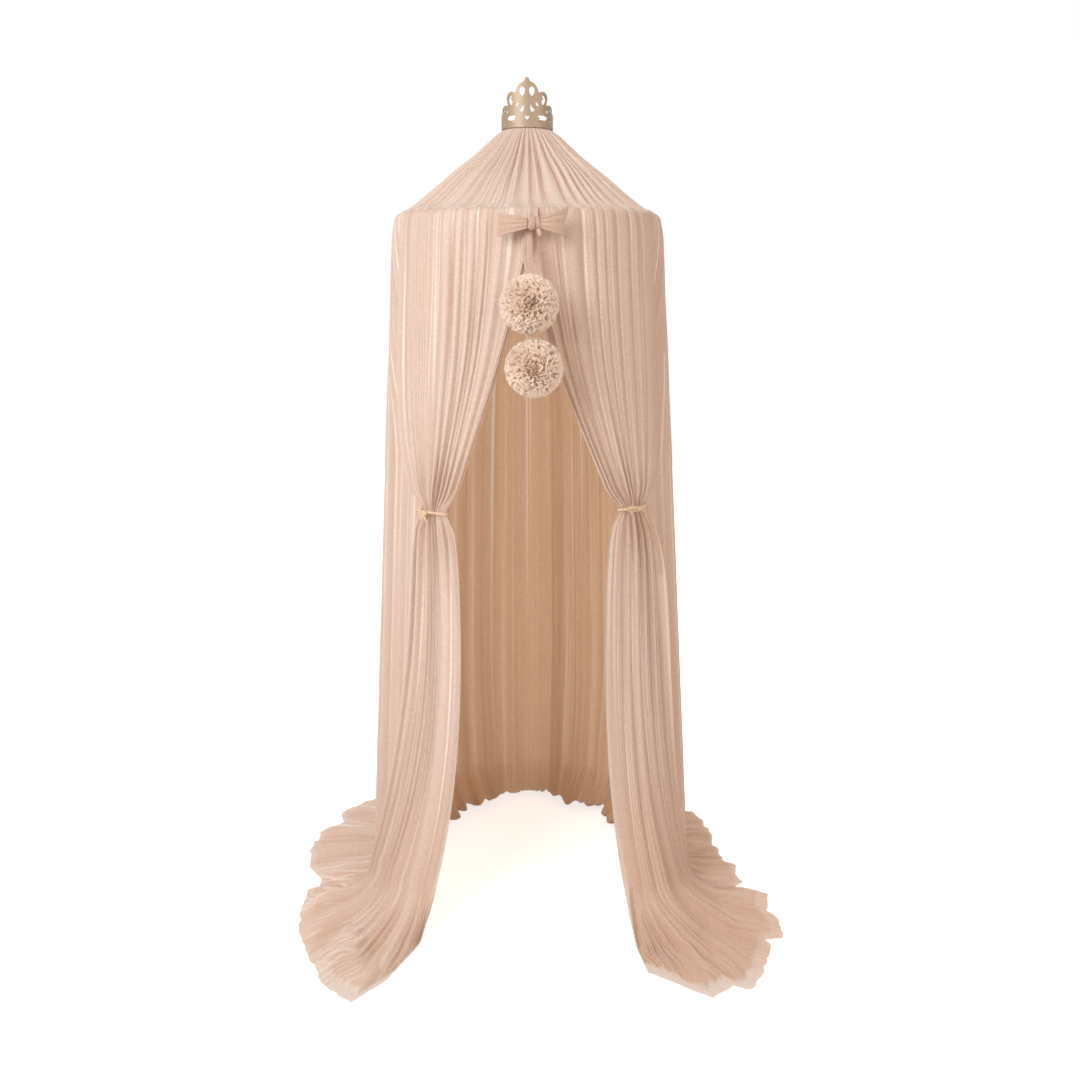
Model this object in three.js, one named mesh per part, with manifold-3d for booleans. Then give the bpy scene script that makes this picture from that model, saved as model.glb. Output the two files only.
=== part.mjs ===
// A crown canopy for a bed: a cloth roof and long curtains on a hoop, hung from one eye.
// Millimetres, +Z up, front towards -Y. The origin is where the ceiling hook bears in the eye.
import * as THREE from 'three';
import * as BufferGeometryUtils from 'three/addons/utils/BufferGeometryUtils.js';
import Module from 'manifold-3d';

const wasm = await Module();
wasm.setup();

// Driving sizes, in millimetres
const hangHeight = 1965; // floor to the bearing point of the hook
const clearance = 0.3; // gap between pieces that touch
const cutOverrun = 2; // how far a cutter runs past what it cuts
const hoop = { radius: 300, drop: 240, tube: 10, steps: 36, sides: 8 };
const ferrule = { wall: 0.6, length: 36, slack: 0.5 };
const casing = { cloth: 1, slack: 1.6, seamGapTurn: 0.08, points: 8, segments: 48, seamRidge: 5 };
const cloth = { thickness: 2.4 };
const eye = { innerRadius: 7, wire: 3, shankRadius: 2, collarRadius: 4, collarHeight: 2, tip: 3.5 };
const washer = { radius: 9, thickness: 1.5 };
const nut = { acrossCorners: 8.4, height: 4 };
const disc = { radius: 52, thickness: 14, edge: 1.5 };
const binding = { width: 6, thickness: 1.6 };
const crown = { radius: 63, wall: 1.6, height: 112, rimDrop: 38, backHeight: 20, segments: 84 };
const roof = { folds: 15, foldDepth: 5, throatFold: 0.6, rimFold: 1, lipFold: 0.4, lipOver: 3, lipFall: 1 };
const drape = {
  shoulder: 21, fall: 36, footSpread: 140, shoulderReach: 20, topFold: 0.8, footFold: 44, folds: 11,
  edgeInset: 30, insetReach: 60, bendHeight: 110, ripple: 9, hemRipple: 12,
};
const curtain = {
  folds: 8, topFold: 1, upperFold: 7, tieFold: 16, legFold: 15, foldReach: 60, tieReach: 130, edgeGap: 1.6,
  bendHeight: 120, ripple: 10, hemRipple: 9, calmReach: 160,
};
const tie = {
  height: 1030, width: 94, gather: 20, band: 7, bandThickness: 1.4, endDepth: 2, slack: 0.6, knot: 11, loop: 16, tail: 30,
};
const longTail = { length: 205, width: 5, thickness: 1.2, reach: 82 };
const bow = {
  drop: 35, leftReach: 74, rightReach: 60, leftHeight: 50, rightHeight: 62, waist: 9,
  puff: 11, knotWidth: 24, knotHeight: 27, knotDepth: 17, offset: 16, frontGap: 22,
};
const stem = { radius: 3.4, offset: 6 };
const strap = { width: 13, thickness: 1.6, headRadius: 8, straight: 20, sideWidth: 4.5, sideShift: -9 };
const pompom = {
  radius: 66, pile: 2.6, upperDrop: 172, gap: 5, upperShift: -3, lowerShift: 6, back: 11, slotDepth: 16,
  detail: 4,
};

// Places on the object, as angles from the front and as shares of the sizes that they follow
const degree = Math.PI / 180;
const curtainEdgeAngle = 66 * degree;
const tieAngle = { left: 37.3 * degree, right: 39.2 * degree };
const drapeEdge = { topAngle: 66.6 * degree, lowAngle: 44 * degree, backGapAngle: 0.12 * degree };
const insetAngles = { full: 67 * degree, none: 78 * degree };
const sideSign = { left: -1, right: 1 };
const tieRadiusShare = 1.008; // of the drape's radius at the tie
const foldPhaseShares = { left: 0, right: 0.5 };
// Rows of the curtains as shares of the fall from the hoop to the tie, then of the height below it
const upperRowShares = [0.0044, 0.052, 0.244, 0.48, 0.7, 0.88];
const lowerRowShares = [0.87, 0.615, 0.325];
const drapeRowShares = [0.998, 0.98, 0.87, 0.64, 0.4, 0.17]; // of the hoop's height
const footShares = {
  // where the legs meet the floor: angle in degrees, then a share of the drape's foot radius
  left: [[37.2, 0.985], [41, 1.12], [52, 1.165], [63.5, 1.1]],
  right: [[38.3, 0.99], [42, 1.13], [52, 1.18], [64, 1.11]],
};
const hemShares = {
  left: [
    [32.5, 1.13], [28.8, 1.42], [28.3, 1.64], [30, 1.8], [35, 1.79], [40, 1.73], [46, 1.655],
    [53.5, 1.59], [60.5, 1.52], [66, 1.45],
  ],
  right: [
    [30.5, 1.2], [26.6, 1.46], [28.2, 1.62], [31.5, 1.8], [36, 1.82], [41.6, 1.83], [47, 1.765],
    [54, 1.73], [60, 1.64], [66, 1.54],
  ],
};
const drapeHemShares = {
  // share of the foot radius at even steps of angle from the front edge to the centre of the back
  left: [0.98, 0.99, 1.3, 1.37, 1.39, 1.34, 1.36, 1.33, 1.3, 1.31, 1.28],
  right: [0.98, 0.99, 1.31, 1.3, 1.22, 1.23, 1.26, 1.29, 1.3, 1.27, 1.28],
};
const bendShares = { height: 0.3, run: 0.2 }; // the row in the bend at the floor
const pullShares = { door: 1.15, further: 2.35 }; // how late the cloth is drawn to the tie, across the curtain
const spreadShares = { door: 4, further: -2 }; // how late the leg spreads to its foot
const legCalmShares = { depth: 0.16, none: 0.55, full: 0.3 }; // shallower folds where the leg turns at the doorway
const rippleShare = 1.4; // the floor ripples, which flatten towards the hem
const drapeFoldShares = { growth: 0.8, calm: 0.3, backEdge: 0.15 };
const landShare = 0.42; // how far out the row after the bend lies

// Derived places
const floorZ = -hangHeight;
const hoopZ = -hoop.drop;
const hoopHeight = hangHeight - hoop.drop;
const tubeRadius = hoop.tube / 2;
const ferruleRadius = tubeRadius + ferrule.slack + ferrule.wall;
const casingInner = ferruleRadius + casing.slack;
const casingOuter = casingInner + casing.cloth;
const halfCloth = cloth.thickness / 2;
const ringBottom = -(2 * eye.innerRadius + eye.wire);
const collarBottom = ringBottom - eye.collarHeight + eye.wire / 2;
const discTop = collarBottom - washer.thickness - 2 * clearance;
const discBottom = discTop - disc.thickness;
const lowerWasherTop = discBottom - clearance;
const nutTop = lowerWasherTop - washer.thickness - clearance;
const crownRim = -crown.rimDrop;
const bowHeight = hoopHeight - bow.drop;
const bowZ = bowHeight - hangHeight;
const tieZ = tie.height - hangHeight;
const tieTop = tie.height + tie.gather;
const tieBottom = tie.height - tie.gather;

const mix = (a, b, share) => a + (b - a) * share;
const smooth = (share) => {
  const s = Math.min(1, Math.max(0, share));
  return s * s * (3 - 2 * s);
};
// A point at an angle from the front, on the side given by sign, at a radius and a height
const atAngle = (sign, angle, radius, z) =>
  new THREE.Vector3(sign * radius * Math.sin(angle), -radius * Math.cos(angle), z);
// Reads a table of equally spaced values at a share of its length
const alongTable = (table, share) => {
  const place = Math.min(Math.max(share, 0), 1) * (table.length - 1);
  const low = Math.min(Math.floor(place), table.length - 2);
  return mix(table[low], table[low + 1], place - low);
};

const group = new THREE.Group();

function addMesh(name, geometry, finish) {
  const mesh = new THREE.Mesh(geometry, new THREE.MeshStandardMaterial(finish));
  mesh.name = name;
  group.add(mesh);
  return mesh;
}

const finishes = {
  tulle: { color: 0xe6c9b2, roughness: 0.9, metalness: 0 },
  lining: { color: 0xc99f80, roughness: 0.95, metalness: 0 },
  satin: { color: 0xdcb98e, roughness: 0.45, metalness: 0 },
  gold: { color: 0xb8a084, roughness: 0.35, metalness: 0.8 },
  steel: { color: 0xb9b9b9, roughness: 0.3, metalness: 1 },
  wood: { color: 0xd8b98c, roughness: 0.7, metalness: 0 },
  plastic: { color: 0xf1efea, roughness: 0.4, metalness: 0 },
};

// Solids for joining and cutting

function toSolid(geometry) {
  const bare = geometry.clone();
  bare.deleteAttribute('normal');
  bare.deleteAttribute('uv');
  const merged = BufferGeometryUtils.mergeVertices(bare);
  const vertProperties = new Float32Array(merged.attributes.position.array);
  const triVerts = new Uint32Array(merged.index.array);
  return new wasm.Manifold(new wasm.Mesh({ numProp: 3, vertProperties, triVerts }));
}

function toGeometry(solid) {
  const mesh = solid.getMesh();
  const geometry = new THREE.BufferGeometry();
  geometry.setAttribute('position', new THREE.BufferAttribute(new Float32Array(mesh.vertProperties), 3));
  geometry.setIndex(Array.from(mesh.triVerts));
  geometry.computeVertexNormals();
  return geometry;
}

const largestPart = (solid) => solid.decompose().sort((a, b) => b.volume() - a.volume())[0];

// An upright cylinder that stands on a height
function standing(radius, bottom, height, sides = 24) {
  return new THREE.CylinderGeometry(radius, radius, height, sides)
    .rotateX(Math.PI / 2)
    .translate(0, 0, bottom + height / 2);
}

// Cloth

// A closed sheet of cloth on a grid: each place gives its inner and its outer point
function clothSheet(columns, rows, closed, place) {
  const points = [];
  const around = closed ? columns : columns + 1;
  for (let row = 0; row <= rows; row++) {
    for (let column = 0; column < around; column++) {
      const { inner, outer } = place(column / columns, row);
      points.push(inner, outer);
    }
  }
  const index = (row, column, side) => 2 * (row * around + (column % around)) + side;
  const faces = [];
  const quad = (a, b, c, d) => faces.push(a, b, c, a, c, d);
  for (let row = 0; row < rows; row++) {
    for (let column = 0; column < columns; column++) {
      const next = column + 1;
      quad(index(row, column, 1), index(row + 1, column, 1), index(row + 1, next, 1), index(row, next, 1));
      quad(index(row, column, 0), index(row, next, 0), index(row + 1, next, 0), index(row + 1, column, 0));
    }
  }
  for (let column = 0; column < columns; column++) {
    const next = column + 1;
    quad(index(0, column, 0), index(0, column, 1), index(0, next, 1), index(0, next, 0));
    quad(index(rows, column, 1), index(rows, column, 0), index(rows, next, 0), index(rows, next, 1));
  }
  for (let row = 0; row < rows && !closed; row++) {
    quad(index(row, 0, 1), index(row, 0, 0), index(row + 1, 0, 0), index(row + 1, 0, 1));
    quad(index(row, columns, 0), index(row, columns, 1), index(row + 1, columns, 1), index(row + 1, columns, 0));
  }
  const geometry = new THREE.BufferGeometry();
  geometry.setAttribute('position', new THREE.BufferAttribute(
    new Float32Array(points.flatMap((p) => [p.x, p.y, p.z])), 3));
  geometry.setIndex(faces);
  return geometry;
}

// A sheet that is built on the right-hand side keeps its faces outwards on the left one too
function faceOut(geometry) {
  const solid = geometry.index.array;
  const position = geometry.attributes.position;
  const [a, b, c] = [new THREE.Vector3(), new THREE.Vector3(), new THREE.Vector3()];
  let volume = 0;
  for (let i = 0; i < solid.length; i += 3) {
    a.fromBufferAttribute(position, solid[i]);
    b.fromBufferAttribute(position, solid[i + 1]);
    c.fromBufferAttribute(position, solid[i + 2]);
    volume += a.dot(b.cross(c));
  }
  if (volume < 0) {
    for (let i = 0; i < solid.length; i += 3) [solid[i], solid[i + 1]] = [solid[i + 1], solid[i]];
  }
  geometry.computeVertexNormals();
  return geometry;
}

// Outermost radius of the hanging cloth at a height above the floor: a straight flare
// from the hoop to the floor, drawn in to the hoop at the shoulder
function drapeRadius(height) {
  const fallen = 1 - height / hoopHeight;
  const shoulderPull = Math.exp(-(hoopHeight - height) / drape.shoulderReach);
  return hoop.radius + mix(drape.fall, drape.footSpread, fallen)
    - (drape.fall - drape.shoulder) * Math.min(1, shoulderPull);
}
const footRadius = drapeRadius(0);

// The top row of the hanging cloth lies against the casing at one of its ridges, under the roof's lip
const casingGap = casing.seamGapTurn * 2 * Math.PI;
const casingTurn = (ridge) => Math.PI + casingGap / 2 + (2 * Math.PI - casingGap) * (ridge / casing.points);
const seamTurn = casingTurn(casing.seamRidge);
const seamPoint = (sign, angle, rise) => {
  const reach = casingOuter + clearance + rise;
  return atAngle(sign, angle, hoop.radius + reach * Math.cos(seamTurn), hoopZ + reach * Math.sin(seamTurn));
};

// A point of the floor part of a sheet: the underside lies flat on the floor
function onFloor(point, rise) {
  const inner = new THREE.Vector3(point.x, point.y, floorZ);
  return { inner, outer: new THREE.Vector3(point.x, point.y, floorZ + cloth.thickness + rise) };
}

const polarTable = (sign, table, radius, z) => new THREE.CatmullRomCurve3(
  table.map(([angle, share]) => atAngle(sign, angle * degree, share * radius, z)), false, 'centripetal');

// One of the two front curtains: gathered on the hoop, pulled to its tie, then a leg to the floor
function curtainSheet(side) {
  const sign = sideSign[side];
  const columns = curtain.folds * 4;
  const foot = polarTable(sign, footShares[side], footRadius, floorZ);
  const hem = polarTable(sign, hemShares[side], footRadius, floorZ);
  const tieRadius = drapeRadius(tie.height) * tieRadiusShare;
  const angle = tieAngle[side];
  const tieCentre = atAngle(sign, angle, tieRadius, tieZ);
  const along = new THREE.Vector3(sign * Math.cos(angle), Math.sin(angle), 0);
  const startAngle = curtain.edgeGap / hoop.radius;
  const wave = (u) => Math.cos(2 * Math.PI * (curtain.folds * u + foldPhaseShares[side]));
  const envelope = (u) => Math.sqrt(Math.max(0, 1 - (2 * u - 1) ** 2));

  const atTie = (u, z) => tieCentre.clone().addScaledVector(along, (u - 0.5) * tie.width).setZ(z);
  // Middle line of the folds above the tie: angle and radius both run from the hoop to the tie
  const upper = (u, height, foldDepth) => {
    const drop = Math.min(1, Math.max(0, (hoopHeight - height) / (hoopHeight - tieTop)));
    const pull = drop ** (pullShares.door + pullShares.further * u);
    const end = atTie(u, 0);
    const endAngle = Math.atan2(sign * end.x, -end.y);
    const endRadius = Math.hypot(end.x, end.y);
    const hangRadius = drapeRadius(height) - foldDepth - halfCloth;
    return atAngle(sign, mix(mix(startAngle, curtainEdgeAngle, u), endAngle, pull),
      mix(hangRadius, endRadius, pull), height - hangHeight);
  };
  const lower = (u, height) => {
    const drop = Math.max(0, 1 - height / tieBottom);
    const spread = drop ** (spreadShares.door + spreadShares.further * u);
    return atTie(u, 0).lerp(foot.getPoint(u), spread).setZ(height - hangHeight);
  };
  const legCalm = (u) => mix(1, legCalmShares.depth,
    smooth((legCalmShares.none - u) / (legCalmShares.none - legCalmShares.full)));
  const foldAt = (u, height) => {
    const reach = hoopHeight - height;
    const pinch = Math.exp(-(((height - tie.height) / curtain.tieReach) ** 2));
    const fallen = 1 - Math.exp(-Math.max(0, tie.height - height) / curtain.calmReach);
    const free = height > tie.height
      ? mix(curtain.topFold, curtain.upperFold, 1 - Math.exp(-reach / curtain.foldReach))
      : mix(curtain.tieFold, curtain.legFold * legCalm(u), fallen);
    return mix(free, curtain.tieFold * envelope(u) + tie.endDepth, pinch);
  };
  const middle = (u, height) => (height > tie.height
    ? upper(u, height, foldAt(u, height))
    : lower(u, height));
  // The cloth is set off square to the middle line, in the level plane
  const hanging = (u, height) => {
    const step = 0.01;
    const ahead = middle(Math.min(1, u + step), height);
    const behind = middle(Math.max(0, u - step), height);
    const out = new THREE.Vector3(-(ahead.y - behind.y), ahead.x - behind.x, 0).multiplyScalar(-sign);
    out.normalize();
    const at = middle(u, height);
    const fold = foldAt(u, height) * wave(u);
    return {
      inner: at.clone().addScaledVector(out, fold - halfCloth),
      outer: at.clone().addScaledVector(out, fold + halfCloth),
    };
  };
  const seamRow = (u) => {
    const turn = mix(startAngle, curtainEdgeAngle, u);
    return { inner: seamPoint(sign, turn, 0), outer: seamPoint(sign, turn, cloth.thickness) };
  };
  const bendMiddle = (u) => middle(u, curtain.bendHeight * bendShares.height)
    .lerp(hem.getPoint(u), bendShares.run);
  const bendRow = (u) => {
    const step = 0.01;
    const across = bendMiddle(Math.min(1, u + step)).sub(bendMiddle(Math.max(0, u - step))).setZ(0);
    const out = new THREE.Vector3(across.y, -across.x, 0).multiplyScalar(sign).normalize();
    const at = bendMiddle(u).setZ(floorZ + curtain.bendHeight * bendShares.height
      + curtain.ripple * legCalm(u) * wave(u) / 2);
    const lift = new THREE.Vector3(0, 0, halfCloth);
    return {
      inner: at.clone().addScaledVector(out, -halfCloth).sub(lift),
      outer: at.clone().addScaledVector(out, halfCloth).add(lift),
    };
  };
  const heights = [
    ...upperRowShares.map((share) => mix(hoopHeight, tieTop, share)), tieTop, tieBottom,
    ...lowerRowShares.map((share) => share * tieBottom),
  ];
  const rowCount = heights.length;
  const place = (u, row) => {
    if (row === 0) return seamRow(u);
    if (row <= rowCount) return hanging(u, heights[row - 1]);
    if (row === rowCount + 1) return hanging(u, curtain.bendHeight);
    if (row === rowCount + 2) return bendRow(u);
    const spread = row === rowCount + 3 ? landShare : 1;
    const at = foot.getPoint(u).lerp(hem.getPoint(u), spread);
    const out = hem.getPoint(u).sub(foot.getPoint(u)).setZ(0).normalize();
    at.addScaledVector(out, curtain.hemRipple * legCalm(u) * wave(u) * spread);
    return onFloor(at, curtain.ripple * legCalm(u) * (1 + wave(u)) * (rippleShare - spread));
  };
  return { geometry: faceOut(clothSheet(columns, rowCount + 4, false, place)), tieCentre, along, hanging };
}

// One half of the back drape, from behind the tied curtain round to the centre of the back
function drapeSheet(side) {
  const sign = sideSign[side];
  const columns = drape.folds * 3;
  const wave = (u) => Math.cos(2 * Math.PI * (drape.folds * u + foldPhaseShares[side]));
  const angleAt = (u, height) => {
    const reach = smooth((hoopHeight - height) / (hoop.radius));
    const edge = mix(drapeEdge.topAngle, drapeEdge.lowAngle, reach);
    return mix(edge, Math.PI - drapeEdge.backGapAngle, u);
  };
  const insetAt = (angle, height) => {
    const reach = 1 - Math.exp(-(hoopHeight - height) / drape.insetReach);
    return drape.edgeInset * reach * smooth((insetAngles.none - angle) / (insetAngles.none - insetAngles.full));
  };
  // Folds die out to nothing at the two edges that meet at the centre of the back
  const foldAt = (u, height) => {
    const fallen = 1 - height / hoopHeight;
    const depth = mix(drape.topFold, drape.footFold, fallen ** drapeFoldShares.growth);
    const angle = angleAt(u, height);
    const calm = mix(1, drapeFoldShares.calm, smooth((insetAngles.none - angle) / (insetAngles.none - insetAngles.full)));
    return depth * calm * smooth((1 - u) * drape.folds + drapeFoldShares.backEdge);
  };
  const hanging = (u, height) => {
    const angle = angleAt(u, height);
    const fold = foldAt(u, height);
    const radius = drapeRadius(height) - insetAt(angle, height) - halfCloth + fold * (wave(u) - 1);
    const z = height - hangHeight;
    return {
      inner: atAngle(sign, angle, radius - halfCloth, z),
      outer: atAngle(sign, angle, radius + halfCloth, z),
    };
  };
  const hemAt = (u) => alongTable(drapeHemShares[side], u) * footRadius;
  const rowCount = drapeRowShares.length;
  const place = (u, row) => {
    if (row === 0) {
      const angle = angleAt(u, hoopHeight);
      return { inner: seamPoint(sign, angle, 0), outer: seamPoint(sign, angle, cloth.thickness) };
    }
    if (row <= rowCount) return hanging(u, drapeRowShares[row - 1] * hoopHeight);
    if (row === rowCount + 1) return hanging(u, drape.bendHeight);
    const angle = angleAt(u, 0);
    const base = drapeRadius(0) - insetAt(angle, 0) + foldAt(u, 0) * (wave(u) - 1);
    const run = Math.max(hemAt(u) + drape.hemRipple * wave(u) - base, 4 * cloth.thickness);
    if (row === rowCount + 2) {
      const z = floorZ + drape.bendHeight * bendShares.height;
      const radius = base + run * bendShares.run;
      return {
        inner: atAngle(sign, angle, radius - halfCloth, z - halfCloth),
        outer: atAngle(sign, angle, radius + halfCloth, z + halfCloth),
      };
    }
    const spread = row === rowCount + 3 ? landShare : 1;
    return onFloor(atAngle(sign, angle, base + run * spread, floorZ), drape.ripple * (1 + wave(u)) * (rippleShare - spread));
  };
  return faceOut(clothSheet(columns, rowCount + 4, false, place));
}

// The roof: bound round the top disc, then a gathered cone down to a lip over the hoop
function roofSheet() {
  const columns = roof.folds * 4;
  const wave = (u) => Math.cos(2 * Math.PI * roof.folds * u);
  const throat = disc.radius + clearance + roof.throatFold + halfCloth;
  const shoulderZ = crownRim - clearance - halfCloth;
  // The cone comes down onto the top of the casing and ends in a lip over the seam
  const seatZ = hoopZ + casingOuter + clearance + halfCloth + roof.lipFold;
  const lipRadius = hoop.radius + casingOuter + roof.lipOver;
  const run = (share) => mix(crown.radius, hoop.radius, share);
  const fall = (share) => mix(shoulderZ, seatZ, share);
  // radius, height, depth of the folds, and whether the cloth stands upright there
  const rows = [
    [throat, discTop - clearance, roof.throatFold, true],
    [throat, discBottom + clearance, roof.throatFold, true],
    [crown.radius - crown.wall - clearance, shoulderZ - roof.rimFold, roof.rimFold, false],
    [run(0.3), fall(0.34), roof.foldDepth, false],
    [run(0.8), fall(0.84), roof.foldDepth / 2, false],
    [hoop.radius, seatZ, roof.lipFold, false],
    [lipRadius, seatZ - roof.lipFall, roof.lipFold, false],
  ];
  const place = (u, row) => {
    const [radius, z, depth, upright] = rows[row];
    const angle = 2 * Math.PI * u;
    const fold = depth * wave(u);
    if (upright) {
      return {
        inner: atAngle(1, angle, radius + fold - halfCloth, z),
        outer: atAngle(1, angle, radius + fold + halfCloth, z),
      };
    }
    return {
      inner: atAngle(1, angle, radius, z + fold - halfCloth),
      outer: atAngle(1, angle, radius, z + fold + halfCloth),
    };
  };
  return { geometry: faceOut(clothSheet(columns, rows.length - 1, true, place)), throat };
}

// Hardware at the top

function hangingEye() {
  const ringRadius = eye.innerRadius + eye.wire / 2;
  const ring = new THREE.TorusGeometry(ringRadius, eye.wire / 2, 8, 28)
    .rotateX(Math.PI / 2)
    .translate(0, 0, -eye.innerRadius);
  const collar = standing(eye.collarRadius, collarBottom, eye.collarHeight, 16);
  const shankBottom = nutTop - nut.height - eye.tip;
  const shank = standing(eye.shankRadius, shankBottom, collarBottom - shankBottom + eye.collarHeight / 2, 12);
  return toGeometry(toSolid(ring).add(toSolid(collar)).add(toSolid(shank)));
}

const bored = (geometry, bottom, height) => toGeometry(toSolid(geometry).subtract(
  toSolid(standing(eye.shankRadius + clearance, bottom - cutOverrun, height + 2 * cutOverrun, 12))));

function topDisc() {
  const outline = [
    [0, discBottom], [disc.radius - disc.edge, discBottom], [disc.radius, discBottom + disc.edge],
    [disc.radius, discTop - disc.edge], [disc.radius - disc.edge, discTop], [0, discTop],
  ].map(([r, z]) => new THREE.Vector2(r, z));
  return new THREE.LatheGeometry(outline, 36).rotateX(Math.PI / 2);
}

// A flat band that closes on itself: a ring about the axis
function ring(inner, outer, bottom, height, segments) {
  const outline = [
    [inner, bottom], [outer, bottom], [outer, bottom + height], [inner, bottom + height], [inner, bottom],
  ].map(([r, z]) => new THREE.Vector2(r, z));
  return faceOut(BufferGeometryUtils.mergeVertices(withoutExtras(
    new THREE.LatheGeometry(outline, segments).rotateX(Math.PI / 2))));
}

function withoutExtras(geometry) {
  geometry.deleteAttribute('normal');
  geometry.deleteAttribute('uv');
  return geometry;
}

// The hoop is two half rings of tube, butted at the sides inside two sleeves
class HalfRing extends THREE.Curve {
  constructor(radius, start, sweep, z) {
    super();
    Object.assign(this, { radius, start, sweep, z });
  }

  getPoint(share, target = new THREE.Vector3()) {
    const turn = this.start + this.sweep * share;
    return target.set(this.radius * Math.cos(turn), this.radius * Math.sin(turn), this.z);
  }
}

function tubeAlong(path, radius, sides, steps, hole = 0) {
  const section = new THREE.Shape();
  section.absarc(0, 0, radius, 0, 2 * Math.PI, false);
  if (hole > 0) section.holes.push(new THREE.Path().absarc(0, 0, hole, 0, 2 * Math.PI, true));
  return new THREE.ExtrudeGeometry(section, { extrudePath: path, steps, curveSegments: sides / 2, bevelEnabled: false });
}

function hoopHalf(start) {
  const gapAngle = clearance / hoop.radius;
  const path = new HalfRing(hoop.radius, start + gapAngle / 2, Math.PI - gapAngle, hoopZ);
  return tubeAlong(path, tubeRadius, hoop.sides, hoop.steps);
}

function hoopFerrule(turn) {
  const sweep = ferrule.length / hoop.radius;
  const path = new HalfRing(hoop.radius, turn - sweep / 2, sweep, hoopZ);
  return tubeAlong(path, ferruleRadius, hoop.sides, 4, tubeRadius + ferrule.slack);
}

// Cloth sleeve round the hoop, with its seam left open on the inside
function hoopCasing() {
  const outline = [];
  for (let i = 0; i <= casing.points; i++) {
    outline.push([casingOuter * Math.cos(casingTurn(i)), casingOuter * Math.sin(casingTurn(i))]);
  }
  for (let i = casing.points; i >= 0; i--) {
    outline.push([casingInner * Math.cos(casingTurn(i)), casingInner * Math.sin(casingTurn(i))]);
  }
  outline.push(outline[0]);
  const profile = outline.map(([r, z]) => new THREE.Vector2(hoop.radius + r, hoopZ + z));
  return faceOut(BufferGeometryUtils.mergeVertices(withoutExtras(
    new THREE.LatheGeometry(profile, casing.segments).rotateX(Math.PI / 2))));
}

// The crown

// Height of the ornament over the rim, as shares of the crown's height: a scallop is given by
// the share of a half turn where its middle lies, its half width, its peak and its foot
const scallopShares = [
  [0, 0.03, 1, 0.9], [0, 0.142, 0.925, 0.62], [0.215, 0.082, 0.73, 0.44], [0.36, 0.055, 0.47, 0.3],
  [0.455, 0.045, 0.31, 0.16],
];
// Openings of the ornament on one side: kind, middle (share of a half turn, share of the height),
// half width and half height in the same shares, and lean in degrees
const openingShares = [
  ['drop', 0.056, 0.72, 0.034, 0.1, 0],
  ['leaf', 0.21, 0.55, 0.022, 0.105, -12],
  ['leaf', 0.12, 0.455, 0.024, 0.036, 30],
  ['spade', 0.062, 0.372, 0.036, 0.084, 0],
  ['leaf', 0.29, 0.35, 0.016, 0.05, 8],
  ['leaf', 0.372, 0.36, 0.016, 0.05, 8],
  ['eye', 0.19, 0.17, 0.086, 0.076, 0],
  ['eye', 0.395, 0.152, 0.034, 0.052, 0],
];
const centreOpeningShares = ['drop', 0, 0.178, 0.026, 0.05, 0];

function crownTop(turnShare) {
  let top = crown.backHeight / crown.height;
  for (const [middle, half, peak, foot] of scallopShares) {
    const off = (Math.abs(turnShare) - middle) / half;
    if (Math.abs(off) <= 1) top = Math.max(top, foot + (peak - foot) * Math.sqrt(1 - off * off));
  }
  return top * crown.height;
}

// The plain wall: a ring whose top edge follows the scallops
function crownWall() {
  const { segments } = crown;
  const points = [];
  for (let i = 0; i < segments; i++) {
    const turn = (2 * i / segments) - 1;
    const angle = turn * Math.PI;
    const z = crownRim + crownTop(turn);
    for (const radius of [crown.radius - crown.wall, crown.radius]) {
      points.push(atAngle(1, angle, radius, crownRim), atAngle(1, angle, radius, z));
    }
  }
  const faces = [];
  const quad = (a, b, c, d) => faces.push(a, b, c, a, c, d);
  for (let i = 0; i < segments; i++) {
    const [here, next] = [4 * i, 4 * ((i + 1) % segments)];
    quad(here, here + 1, next + 1, next);
    quad(here + 2, next + 2, next + 3, here + 3);
    quad(here, next, next + 2, here + 2);
    quad(here + 1, here + 3, next + 3, next + 1);
  }
  const geometry = new THREE.BufferGeometry();
  geometry.setAttribute('position', new THREE.BufferAttribute(
    new Float32Array(points.flatMap((p) => [p.x, p.y, p.z])), 3));
  geometry.setIndex(faces);
  return faceOut(geometry);
}

// Outlines of the openings in a unit square, as shares of the half width and half height
const outlineShares = {
  drop: [[0, -1], [0.55, -0.2], [1, 0.35], [0.8, 0.85], [0, 1], [-0.8, 0.85], [-1, 0.35], [-0.55, -0.2]],
  leaf: [[0, -1], [0.8, -0.4], [1, 0.2], [0.4, 1], [-0.5, 0.5], [-0.8, -0.3]],
  spade: [[0, -1], [0.35, -0.2], [1, -0.35], [0.8, 0.4], [0.25, 0.5], [0, 1], [-0.25, 0.5], [-0.8, 0.4], [-1, -0.35], [-0.35, -0.2]],
  eye: [[1, 0.1], [0.4, 0.85], [-0.4, 1], [-0.75, 0.3], [-1, 0.05], [-0.7, -0.45], [-0.3, -1], [0.5, -0.7]],
};

function openingCutter([kind, turnShare, heightShare, halfTurn, halfHeight, lean], sign) {
  const halfWidth = halfTurn * Math.PI * crown.radius;
  const tall = halfHeight * crown.height;
  const outline = outlineShares[kind].map(([x, y]) => new THREE.Vector2(sign * x * halfWidth, y * tall));
  const shape = new THREE.Shape(outline);
  const depth = crown.radius / 2;
  return new THREE.ExtrudeGeometry(shape, { depth, bevelEnabled: false })
    .rotateZ(sign * lean * degree)
    .rotateX(Math.PI / 2)
    .translate(0, -(crown.radius - depth / 2), crownRim + heightShare * crown.height)
    .rotateZ(sign * turnShare * Math.PI);
}

function crownBand() {
  let solid = toSolid(crownWall());
  for (const opening of openingShares) {
    for (const sign of [-1, 1]) solid = solid.subtract(toSolid(openingCutter(opening, sign)));
  }
  solid = solid.subtract(toSolid(openingCutter(centreOpeningShares, 1)));
  return toGeometry(largestPart(solid));
}

// Bow, straps and pompoms

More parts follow.
